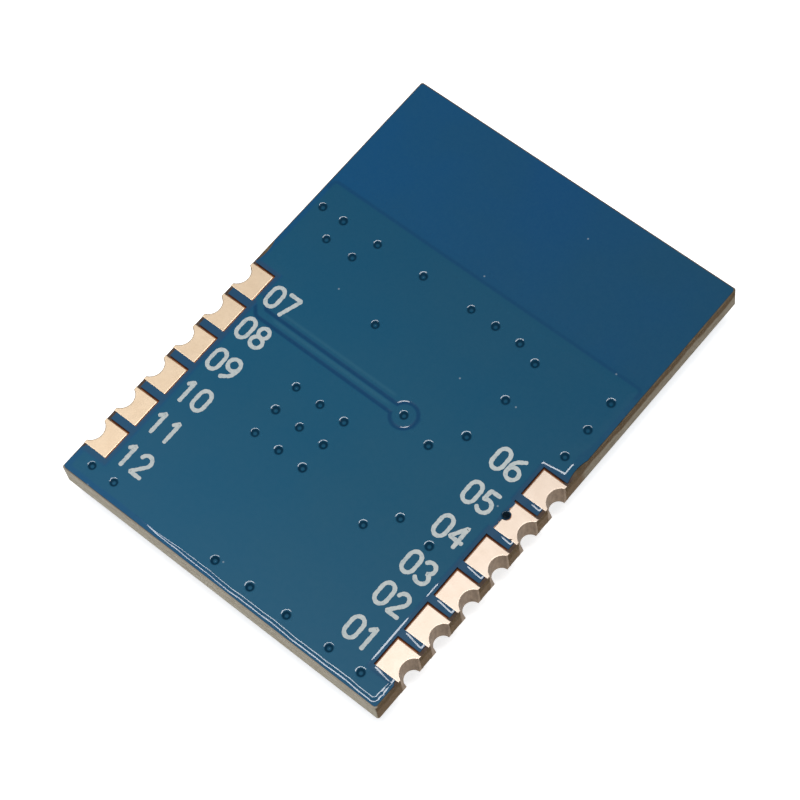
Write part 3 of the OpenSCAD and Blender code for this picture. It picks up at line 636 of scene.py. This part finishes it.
def draw_to_rim(x, y):
    """Moves the outer points of the grid in to the mask's rim."""
    rim = EDGE_X - DIP_DEPTH + DIP_R - np.sqrt(np.maximum((DIP_R + MASK_INSET) ** 2 - (y - DIP_Y) ** 2, 0))
    rim = np.where(np.abs(y - DIP_Y) < 0.6, np.minimum(rim, RIM_X), RIM_X)
    rim = rim - ROW_SETBACK * near(y, WINDOW_LOW + 0.1, WINDOW_TOP - 0.15, 0.15)
    outer = np.abs(x) > BEND_X
    x[outer] = (np.sign(x) * (BEND_X + (np.abs(x) - BEND_X) * (rim - BEND_X) / (RIM_X - BEND_X)))[outer]
    # At the corners a square block of cells becomes a quarter disc
    r = CORNER_R
    u, v = (np.abs(x) - RIM_X + r) / r, (np.abs(y) - RIM_Y + r) / r
    corner = (u > 0) & (v > 0)
    cu, cv = u * np.sqrt(np.maximum(1 - v * v / 2, 0)), v * np.sqrt(np.maximum(1 - u * u / 2, 0))
    x[corner] = (np.sign(x) * (RIM_X - r + cu * r))[corner]
    y[corner] = (np.sign(y) * (RIM_Y - r + cv * r))[corner]


def with_walls(verts, normals, faces):
    """Adds walls from the open edges down to the laminate, and gives each point a hole share: none on the
    face, and on the walls painted shade, darker towards their foot.
    """
    edges = {(a, b) for face in faces for a, b in zip(face, np.roll(face, -1))}
    near_tent = np.array([np.hypot(*(TENTED - v[:2]).T).min() < TENT_ROOM for v in verts])
    open_edges = [(a, b) for a, b in edges if (b, a) not in edges and not near_tent[a]]
    rim = sorted({v for edge in open_edges for v in edge})
    top = {v: len(verts) + k for k, v in enumerate(rim)}
    foot = {v: len(verts) + len(rim) + k for k, v in enumerate(rim)}
    outward = dict.fromkeys(rim, np.zeros(3))
    for a, b in open_edges:
        across = np.array([verts[b][1] - verts[a][1], verts[a][0] - verts[b][0], 1e-9])
        for v in (a, b):
            outward[v] = outward[v] + across / np.linalg.norm(across)
    facing = np.array([outward[v] / max(np.linalg.norm(outward[v]), 1e-9) for v in rim])
    feet = verts[rim] * (1, 1, 0) + (0, 0, BACK_Z - 0.001)
    # Painted shade on the walls, darker towards the foot
    hole = np.repeat([0.0, 0.3, 1.0], [len(verts), len(rim), len(rim)])
    faces = [tuple(f) for f in faces] + [(top[b], top[a], foot[a], foot[b]) for a, b in sorted(open_edges)]
    return np.vstack([verts, verts[rim], feet]), np.vstack([normals, facing, facing]), faces, hole


def build_mask():
    xs, ys = mask_lines()
    gx, gy = np.meshgrid(xs, ys)
    x, y = gx.copy(), gy.copy()
    draw_to_rim(x, y)
    # The ground land has no gap at its inner side: the mask laps it with a ragged edge
    lap = np.abs(gx - LAND_X + GAP_RIGHT_ROW) < 1e-6
    lap &= np.abs(gy - GROUND["y"]) < GROUND["half"] + 1e-6
    x[lap] += GAP_RIGHT_ROW + 0.008 + 0.014 * np.sin(11 * gy[lap]) + 0.01 * np.sin(27 * gy[lap] + 1)
    # Cells in the openings and close to the vias are left out
    keep = np.ones((len(ys) - 1, len(xs) - 1), bool)
    mid_x, mid_y = np.meshgrid((xs[1:] + xs[:-1]) / 2, (ys[1:] + ys[:-1]) / 2)
    for land in LANDS:
        inner, low, high = opening(land)
        keep &= ~((land["side"] * mid_x > inner) & (mid_y > low) & (mid_y < high))
    near_via = np.hypot(x - GROUND_VIA[0], y - GROUND_VIA[1]) < OPEN_CUT
    for cx, cy in TENTED:
        near_via |= np.hypot(x - cx, y - cy) < TENT_CUT
    keep &= ~(near_via[1:, 1:] | near_via[1:, :-1] | near_via[:-1, 1:] | near_via[:-1, :-1])
    index = np.arange(x.size).reshape(x.shape)
    corners = index[:-1, :-1], index[:-1, 1:], index[1:, 1:], index[1:, :-1]
    faces = np.stack([corner[keep] for corner in corners], 1)
    verts = np.stack([x.ravel(), y.ravel(), face_height(x, y).ravel()], 1)
    used = np.unique(faces)
    renumber = np.full(len(verts), -1)
    renumber[used] = np.arange(len(used))
    verts, faces = verts[used], renumber[faces]
    normals = slope_normals(face_height, verts[:, 0], verts[:, 1])
    verts, normals, faces, hole = with_walls(verts, normals, faces)
    piece("mask_face", verts, faces, MASK, ["back_mask"], normals=normals,
          attributes={"hole": hole, **mask_tones(verts[:, 0], verts[:, 1])})


def sharp_edges(obj, degrees):
    """Marks edges over the angle as sharp, so that smooth shading stops there."""
    bm = bmesh.new()
    bm.from_mesh(obj.data)
    for edge in bm.edges:
        edge.smooth = len(edge.link_faces) == 2 and edge.calc_face_angle(0) < math.radians(degrees)
    bm.to_mesh(obj.data)
    bm.free()


def ground_level(x, y):
    """The mask's face carried on over the ground land, for the open via there."""
    return face_height(np.minimum(x, LAND_X - 0.1), y)


def build_dimples():
    """The mask's bowls over the vias, as round patches that carry on its face."""
    verts, normals, faces, holes, open_via_shade = [], [], [], [], []
    turns = 48
    radii = np.concatenate([np.linspace(0.004, 0.1, 9), np.linspace(0.106, 0.19, 15), [0.215, 0.25, 0.34]])
    angle = np.linspace(0, 2 * np.pi, turns, endpoint=False)
    for cx, cy in [*TENTED, GROUND_VIA]:
        steep, inner = rng.uniform(0.5, 0.62), rng.uniform(0.1, 0.112)
        lean, lobe = rng.uniform(0, 2 * np.pi), rng.uniform(0.01, 0.07)
        shoulder, reach = rng.uniform(0.078, 0.094), np.ones(turns)
        # centre: the share of the hole's dark tone kept in the bowl's middle; a small share leaves a painted
        # highlight there
        level, centre, rim = face_height, 0.05, inner
        is_open = (cx, cy) == tuple(GROUND_VIA)
        if is_open:
            # Half of this one is in its land
            steep, inner, shoulder, lobe = 0.9, 0.09, 0.05, 0.0
            reach = 0.41 + 0.31 * smooth_step((-0.1 - np.cos(angle)) / 0.1)
            level, centre, rim = ground_level, 1.0, inner + 0.03

        def bowl(x, y):
            r = np.hypot(x - cx, y - cy)
            r = r * (1 - lobe * np.cos(np.arctan2(y - cy, x - cx) - lean))
            t = np.clip((r - inner) / shoulder, 0, 1)
            # The slope is even inside and fades to nothing over the shoulder
            rest = 0.5 - t + t ** 3 - t ** 4 / 2
            sunk = level(x, y) + 0.0006 - steep * (np.maximum(inner - r, 0) + shoulder * rest)
            return np.minimum(sunk, MASK_HI - 0.0002)

        base = len(verts)
        x = np.concatenate([[cx], (cx + radii[:, None] * reach * np.cos(angle)).ravel()])
        y = np.concatenate([[cy], (cy + radii[:, None] * reach * np.sin(angle)).ravel()])
        r = np.hypot(x - cx, y - cy)
        verts.extend(zip(x, y, bowl(x, y)))
        normals.extend(slope_normals(bowl, x, y))
        # Painted highlight: the middle of a covered bowl keeps a paler tone
        painted_highlight_middle = centre + (1 - centre) * smooth_step((r - 0.03) / 0.05)
        holes.extend((1 - smooth_step((r - rim) / 0.05)) * painted_highlight_middle)
        # Painted shade: near black in the open via's bowl, for its dark hole
        open_via_shade.extend((1 - smooth_step((r - inner) / 0.04)) * is_open)
        faces.extend((base, base + 1 + k, base + 1 + (k + 1) % turns) for k in range(turns))
        faces.extend(loop_faces(base + 1, len(radii), turns))
    x, y = np.array(verts)[:, :2].T
    piece("mask_dimples", verts, faces, MASK, ["back_mask"], normals=normals,
          attributes={"hole": holes, "open": open_via_shade, **mask_tones(x, y)})


# Terminals: a land on each face and the drilled wall between, swept round the half hole's axis

HOLE_R, PLATING, HOLE_OUT = 0.4, 0.03, 0.16
# The router drew the lower rim of each half hole in to a smaller circle, a little towards +Y
LOW_R, LOW_OUT, LOW_SHIFT = 0.275, 0.012, 0.03
# The open via bites into the inner side of the ground land, and its lower side has a nick
BITE_R = 0.14
NICK_DEPTH, NICK_ANGLE, NICK_WIDE = 0.07, -0.86, 0.028


def lower_rim(a):
    """Distance from the hole's axis to that smaller circle along one ray."""
    along = (HOLE_OUT - LOW_OUT) * math.cos(a) + LOW_SHIFT * math.sin(a)
    return along + math.sqrt(LOW_R ** 2 + along ** 2 - (HOLE_OUT - LOW_OUT) ** 2 - LOW_SHIFT ** 2)


def land_section(far, hole):
    """Section of the upper land along a ray from the hole's axis: radius, height, 1 on the drilled wall."""
    room = far - hole
    bevel, roll, inset = min(0.012, room / 5), min(0.022, room / 3), min(0.03, room / 4)
    turn = [math.pi / 2 * k / 4 for k in range(5)]
    lip = [(hole + roll - roll * math.sin(t), LAND_TOP - roll + roll * math.cos(t), k / 4)
           for k, t in enumerate(turn)]
    upper = [(far, BACK_Z, 0), (far, LAND_TOP - bevel, 0), (far - bevel * 0.3, LAND_TOP - bevel * 0.3, 0),
             (far - bevel, LAND_TOP, 0), (far - inset, LAND_TOP, 0), (hole + roll + inset / 2, LAND_TOP, 0)]
    return upper + lip + [(hole, LAND_TOP - roll - 0.006, 1)]


def terminal_profile(far, edge, a):
    """Section of a terminal: both lands, the drilled wall between them and the wall's back."""
    wall = max(HOLE_R + PLATING, edge)
    upper, lower = land_section(far, max(HOLE_R, edge)), land_section(far, max(lower_rim(a), edge))
    lower = [(r, LAND_TOP + LAND_LOW - z, w) for r, z, w in reversed(lower)]
    return upper + lower + [(wall, FRONT_Z, 1), (wall, BACK_Z, 1)], len(upper)


def ground_reach(far, a):
    """Reach of the ground land along one ray, where a plain land would reach far."""
    via_x, via_y = EDGE_X + HOLE_OUT - GROUND_VIA[0], GROUND_VIA[1] - GROUND["y"]
    along = via_x * math.cos(a) + via_y * math.sin(a)
    across = via_x ** 2 + via_y ** 2 - along ** 2
    if across < BITE_R ** 2:
        far = min(far, along - math.sqrt(BITE_R ** 2 - across))
    return far - NICK_DEPTH * math.exp(-((a - NICK_ANGLE) / NICK_WIDE) ** 2)


def build_terminal(number, land):
    half, length = land["half"], land["length"] + HOLE_OUT
    corner, barrel_end = math.atan2(half, length), math.acos(HOLE_OUT / (HOLE_R + PLATING))
    tip = math.atan2(half, HOLE_OUT) - 0.002
    outer = np.concatenate([np.linspace(corner, barrel_end, 30), np.linspace(barrel_end, tip, 5)])
    angles = np.unique(np.concatenate([np.linspace(-corner, corner, 61), outer, -outer]).round(9))
    verts, faces, walls = [], [], []
    for a in angles:
        c, s = math.cos(a), math.sin(a)
        far = min(length / c, half / max(abs(s), 1e-9))
        if land is GROUND:
            far = ground_reach(far, a)
        profile, top = terminal_profile(far, HOLE_OUT / c, a)
        for r, z, wall in profile:
            verts.append((land["side"] * (EDGE_X + HOLE_OUT - r * c), land["y"] + r * s, z))
            walls.append(wall)
    n = len(profile)
    for i, (a, b) in enumerate(zip(angles, angles[1:])):
        links = [(k, (k + 1) % n) for k in range(n)]
        if min(abs(a), abs(b)) > barrel_end - 1e-6:
            # Past the barrel's end only the two lands are left, each closed at the board's edge
            links = [link for link in links if link not in ((top - 1, top), (n - 2, n - 1))]
            links += [(top - 1, n - 1), (n - 2, top)]
        for j, k in links:
            quad = (i * n + j, i * n + k, (i + 1) * n + k, (i + 1) * n + j)
            faces.append(quad[::land["side"]])
    obj = piece(f"land_{number}", verts, faces, GOLD, [f"terminal_{number}"],
                attributes={"wall": walls})
    sharp_edges(obj, 50)


def build_dip_fill():
    """Torn laminate that stands in the dips of the long edges, flush with the edge."""
    verts, faces = [], []
    ys = DIP_Y + np.linspace(-DIP_HALF, DIP_HALF, 17)
    arc_x = EDGE_X - DIP_DEPTH + DIP_R - np.sqrt(DIP_R ** 2 - (ys - DIP_Y) ** 2)
    for side in (1, -1):
        base = len(verts)
        for x, y in zip(arc_x, ys):
            section = (x, FRONT_Z), (EDGE_X, FRONT_Z), (EDGE_X, BACK_Z), (x, BACK_Z)
            verts.extend((side * px, y, z) for px, z in section)
        faces.extend(quad[::side] for quad in loop_faces(base, len(ys), 4))
    piece("dip_fill", verts, faces, LAMINATE, smooth=False)


# Strips of resin beside the lands: width above and inside, and where those above begin and end
RESIN_ABOVE, RESIN_INSIDE, RESIN_START, RESIN_END = 0.026, 0.022, LAND_X - 0.02, EDGE_X - 0.15


def build_resin_glow():
    """Thin strips of resin along the upper and inner sides of the lands, in the mask's openings, painted
    with the shade and gold glow there.
    """
    verts, faces = [], []
    for land in LANDS:
        top, foot = land["y"] + land["half"], land["y"] - land["half"]
        upper = (RESIN_START, top), (RESIN_END, top + RESIN_ABOVE)
        inner = (LAND_X - RESIN_INSIDE, foot), (LAND_X, top)
        # The mask laps the inner side of the ground land
        for (ax, ay), (bx, by) in [upper] if land is GROUND else [upper, inner]:
            base = len(verts)
            corners = [(ax, ay), (bx, ay), (bx, by), (ax, by)]
            for z in (BACK_Z - 0.002, BACK_Z + 0.001):
                verts.extend((land["side"] * x, y, z) for x, y in corners)
            sides = [(k, (k + 1) % 4, (k + 1) % 4 + 4, k + 4) for k in range(4)]
            for quad in [(3, 2, 1, 0), (4, 5, 6, 7)] + sides:
                quad = tuple(base + k for k in quad)
                faces.append(quad[::land["side"]])
    piece("resin_glow_strips", verts, faces, RESIN_GLOW, smooth=False)


# Pin numbers in a plain stroke face, printed beside the lands

# Height of a digit, distance from one to the next and width of a stroke
TALL, PITCH, STROKE = 0.69, 0.54, 0.125
# Where the numbers of the two rows start, and one that is printed lower, clear of a via
RIGHT_START, LEFT_START = 4.24 - PITCH, -4.78
LOWER_NUMBER, LOWER_BY = 3, 0.12
# Height of a digit's first and second stroke, as shares of the ink's thickness
STROKE_LEVELS = (0.9, 0.6)


def arc(cx, cy, rx, ry, start, end, steps=14):
    """Points along part of an ellipse, with the angles in degrees."""
    return [(cx + rx * math.cos(math.radians(a)), cy + ry * math.sin(math.radians(a)))
            for a in np.linspace(start, end, steps)]


STROKES = {
    "0": [arc(0.3, 0.7, 0.27, 0.3, 0, 180) + arc(0.3, 0.3, 0.27, 0.3, 180, 360) + [(0.57, 0.7)]],
    "1": [[(0.12, 0.8), (0.32, 1.0), (0.32, 0.0)]],
    "2": [arc(0.3, 0.72, 0.26, 0.28, 165, -35) + [(0.04, 0.0), (0.58, 0.0)]],
    "3": [arc(0.28, 0.75, 0.26, 0.25, 150, -80) + arc(0.28, 0.25, 0.29, 0.26, 80, -150)],
    "4": [[(0.44, 0.0), (0.44, 1.0), (0.02, 0.3), (0.6, 0.3)]],
    "5": [[(0.54, 1.0), (0.1, 1.0), (0.06, 0.56)] + arc(0.27, 0.31, 0.3, 0.31, 125, -145)],
    "6": [[(0.45, 1.0)] + arc(0.42, 0.42, 0.4, 0.5, 125, 180, 6) + arc(0.3, 0.28, 0.28, 0.28, 180, 540, 24)],
    "7": [[(0.03, 1.0), (0.57, 1.0), (0.22, 0.0)]],
    "8": [arc(0.3, 0.76, 0.24, 0.24, 90, -270, 24), arc(0.3, 0.26, 0.28, 0.26, 270, 630, 24)],
    "9": [[(0.15, 0.0)] + arc(0.18, 0.58, 0.4, 0.5, -55, 0, 6) + arc(0.3, 0.72, 0.28, 0.28, 0, 360, 24)],
}


def add_stroke(verts, faces, points, level):
    """Adds one stroke along the points, with round ends, at heights above the mask's face."""
    at = np.concatenate([[0], np.cumsum(np.hypot(*np.diff(points, axis=0).T))])
    fine = np.linspace(0, at[-1], max(6, int(at[-1] / 0.025)))
    line = np.stack([np.interp(fine, at, points[:, k]) for k in (0, 1)], 1)
    heading = np.gradient(line, axis=0)
    heading /= np.maximum(np.hypot(*heading.T), 1e-9)[:, None]
    left = np.stack([-heading[:, 1], heading[:, 0]], 1)
    phase = rng.uniform(0, 2 * np.pi, 2)
    half = STROKE / 2 * (1 + 0.07 * np.sin(fine * 23 + phase[0]) + 0.05 * np.sin(fine * 57 + phase[1]))
    # Rows across the line, narrowing over round ends
    ends = np.linspace(0.1, 1, 5)
    caps = list(zip(ends, np.sqrt(1 - (1 - ends) ** 2)))
    before = [(line[0] - heading[0] * half[0] * (1 - e), left[0], half[0] * w) for e, w in caps]
    after = [(line[-1] + heading[-1] * half[-1] * (1 - e), left[-1], half[-1] * w) for e, w in caps]
    rows = before[:-1] + list(zip(line, left, half)) + after[-2::-1]
    # Each row is a closed loop of five points on top and five underneath
    across = np.concatenate([np.linspace(-1, 1, 5), np.linspace(1, -1, 5)])
    base, n = len(verts), len(across)
    for i, (centre, side, h) in enumerate(rows):
        top = INK_T * (level + 0.1 * i / len(rows))
        lifts = [top] * 5 + [-INK_T] * 5
        verts.extend((*(centre + side * h * part), lift) for part, lift in zip(across, lifts))
    faces.extend(loop_faces(base, len(rows), n))
    faces.append(tuple(range(base, base + n)))
    faces.append(tuple(range(len(verts) - 1, len(verts) - 1 - n, -1)))


def build_numbers():
    verts, faces = [], []
    for number, land in enumerate(LANDS, 1):
        start = RIGHT_START if land["side"] > 0 else LEFT_START
        foot = land["y"] - TALL / 2 - (LOWER_BY if number == LOWER_NUMBER else 0)
        for k, digit in enumerate(f"{number:02d}"):
            corner = np.array([start + k * PITCH, foot]) + rng.uniform(-0.012, 0.012, 2)
            for level, points in zip(STROKE_LEVELS, STROKES[digit]):
                add_stroke(verts, faces, corner + np.array(points) * TALL, level)
    x, y, lift = np.array(verts).T
    piece("pin_numbers", np.column_stack([x, y, face_height(x, y) + lift]), faces, INK,
          normals=slope_normals(face_height, x, y))


build_mask()
build_dimples()
for number, land in enumerate(LANDS, 1):
    build_terminal(number, land)
build_dip_fill()
build_resin_glow()
build_numbers()


# Component side

def bmesh_piece(bm, name, material, nodes):
    """A bmesh, in metres, as a piece."""
    mesh = bpy.data.meshes.new(name)
    bm.to_mesh(mesh)
    bm.free()
    sharp_edges(place_piece(name, mesh, material, nodes), 40)


def block_piece(name, boxes, bevel, material, nodes):
    """One piece of boxes with rolled edges."""
    bm = bmesh.new()
    for lo, hi in boxes:
        middle, size = Vector((lo + hi) / 2 * MM), (hi - lo) * MM
        place = Matrix.Translation(middle) @ Matrix.Diagonal((*size, 1))
        bmesh.ops.create_cube(bm, size=1.0, matrix=place)
    bmesh.ops.bevel(bm, geom=bm.edges[:], offset=bevel * MM, segments=3, profile=0.5, affect="EDGES")
    bmesh_piece(bm, name, material, nodes)


def ends_of(node):
    """The two end caps of a small part, as boxes."""
    lo, hi = box_mm(node)
    points = np.array([v.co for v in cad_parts[node].data.vertices]) / MM
    axis = 0 if hi[0] - lo[0] > hi[1] - lo[1] else 1
    middle = (lo[axis] + hi[axis]) / 2
    halves = (points[(points[:, axis] - middle) * side > 0] for side in (-1, 1))
    return [(half.min(0), half.max(0)) for half in halves]


def small_part(name, body_material, bevel=0.035):
    """Body and end caps of a coil, resistor or capacitor."""
    caps, body = ends_of(f"{name}_ends"), [box_mm(f"{name}_body")]
    block_piece(f"{name}_caps", caps, bevel, END_METAL, [f"{name}_ends"])
    block_piece(f"{name}_block", body, bevel * 0.5, body_material, [f"{name}_body"])


small_part("supply_coil", FERRITE, 0.06)
for i in (1, 2):
    small_part(f"radio_coil_{i}", COIL)
    small_part(f"resistor_{i}", RESISTOR, 0.03)
    film = f"resistor_{i}_film"
    block_piece(f"resistor_{i}_coat", [box_mm(film)], 0.01, FILM, [film])
for i in range(1, 9):
    small_part(f"capacitor_{i}", CAPACITOR)


def softened(name, node, width, material, segments=2):
    """A copy of a CAD node with rolled edges, which stands for it."""
    bm = bmesh.new()
    bm.from_mesh(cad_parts[node].data)
    bmesh.ops.remove_doubles(bm, verts=bm.verts[:], dist=1e-7)
    bmesh.ops.dissolve_limit(bm, angle_limit=math.radians(0.5), verts=bm.verts[:], edges=bm.edges[:])
    sharp = [e for e in bm.edges if len(e.link_faces) == 2 and e.calc_face_angle(0) > math.radians(35)]
    bmesh.ops.bevel(bm, geom=sharp, offset=width * MM, segments=segments, profile=0.5, affect="EDGES",
                    clamp_overlap=True)
    bmesh_piece(bm, name, material, [node])


softened("chip_block", "chip_body", 0.03, MOULD)
for crystal in ("main_crystal", "sleep_crystal"):
    softened(f"{crystal}_tray", f"{crystal}_base", 0.02, CRYSTAL)
    softened(f"{crystal}_cover", f"{crystal}_lid", 0.035, LID, 3)
softened("solder_beads", "solder_joints", 0.011, SOLDER)

# The CAD nodes that stay get their finish
FINISHES = {
    "core": LAMINATE, "back_copper": COPPER, "front_copper": COPPER, "antenna_strip": COPPER,
    "front_mask": FRONT_MASK, "via_barrels": COPPER, "chip_leads": TIN, "chip_heat_pad": TIN,
    "main_crystal_pads": GOLD, "sleep_crystal_pads": GOLD,
}
for node, material in FINISHES.items():
    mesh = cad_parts[node].data
    mesh.materials.clear()
    mesh.materials.append(material)


# Stage, in metres: a white floor, an overhead soft box and a dim even surround

FLOOR_HALF, FLOOR_GREY, FLOOR_GLOW = 2, 0.86, 0.7
SURROUND_COLOUR, SURROUND_STRENGTH = (0.97, 0.985, 1.0, 1), 0.13
# The soft box: distance and brightness, then its width, depth and place as shares of the distance
LAMP_FAR, LAMP_POWER = 0.4, 9.5
LAMP_WIDE, LAMP_DEEP, LAMP_BACK, LAMP_ACROSS = 1.1, 0.28, 0.05, 0.03
LAMP_TOWARD, LAMP_SIDE = Vector((0.65, -0.76, 0)).normalized(), Vector((0.76, 0.65, 0)).normalized()
# The camera that was fitted to the photograph. Its height counts from the top of the lands
SENSOR, LENS, SHIFT_X, SHIFT_Y = 36.0, 118.26, -0.0006, 0.0008
CAMERA_PLACE = Vector((26.351, -21.437, 66.697 + LAND_TOP)) * MM
CAMERA_AHEAD, CAMERA_RIGHT = Vector((-0.3471, 0.2802, -0.895)), Vector((0.7622, 0.6404, -0.0951))


def floor_material():
    """White floor that also glows a little to the camera and in mirror images."""
    s = Shader("floor")
    s.tree.nodes.remove(s.bsdf)
    ray = s.node("LightPath").outputs
    seen = s.maths("MAXIMUM", ray["Is Camera Ray"], ray["Is Glossy Ray"])
    glow = s.node("Emission", {"Strength": s.maths("MULTIPLY", seen, FLOOR_GLOW)})
    diffuse = s.node("BsdfDiffuse", {"Color": (FLOOR_GREY,) * 3})
    both = s.node("AddShader", {0: diffuse.outputs[0], 1: glow.outputs[0]})
    s.put(s.tree.nodes["Material Output"].inputs["Surface"], both.outputs[0])
    return s.mat


def build_stage():
    mesh = bpy.data.meshes.new("floor")
    far = FLOOR_HALF
    mesh.from_pydata([(-far, -far, 0), (far, -far, 0), (far, far, 0), (-far, far, 0)], [], [(0, 1, 2, 3)])
    mesh.materials.append(floor_material())
    floor = add_object("floor", mesh)

    world = bpy.data.worlds.new("surround")
    world.use_nodes = True
    background = world.node_tree.nodes["Background"]
    background.inputs["Color"].default_value = SURROUND_COLOUR
    background.inputs["Strength"].default_value = SURROUND_STRENGTH
    bpy.context.scene.world = world

    # The soft box hangs over the part, square to the camera's heading, so that only tilted edges mirror it
    light = bpy.data.lights.new("soft_box", "AREA")
    light.shape = "RECTANGLE"
    light.size, light.size_y = LAMP_WIDE * LAMP_FAR, LAMP_DEEP * LAMP_FAR
    light.energy = LAMP_POWER * math.pi * light.size * light.size_y
    lamp = add_object("soft_box", light)
    centre = (LAMP_SIDE * LAMP_ACROSS - LAMP_TOWARD * LAMP_BACK + Vector((0, 0, 1))) * LAMP_FAR
    turn = Matrix((LAMP_SIDE, LAMP_SIDE.cross(Vector((0, 0, -1))), Vector((0, 0, 1)))).transposed()
    lamp.matrix_world = Matrix.Translation(centre) @ turn.to_4x4()


def build_camera():
    data = bpy.data.cameras.new("camera")
    data.sensor_width, data.lens = SENSOR, LENS
    data.shift_x, data.shift_y = SHIFT_X, SHIFT_Y
    data.clip_start, data.clip_end = 0.002, 10
    camera = add_object("camera", data)
    ahead = CAMERA_AHEAD.normalized()
    right = (CAMERA_RIGHT - ahead * CAMERA_RIGHT.dot(ahead)).normalized()
    turn = Matrix((right, right.cross(ahead), -ahead)).transposed()
    camera.matrix_world = Matrix.Translation(CAMERA_PLACE) @ turn.to_4x4()
    bpy.context.scene.camera = camera


build_stage()
build_camera()
bpy.context.scene.view_settings.view_transform = "Standard"
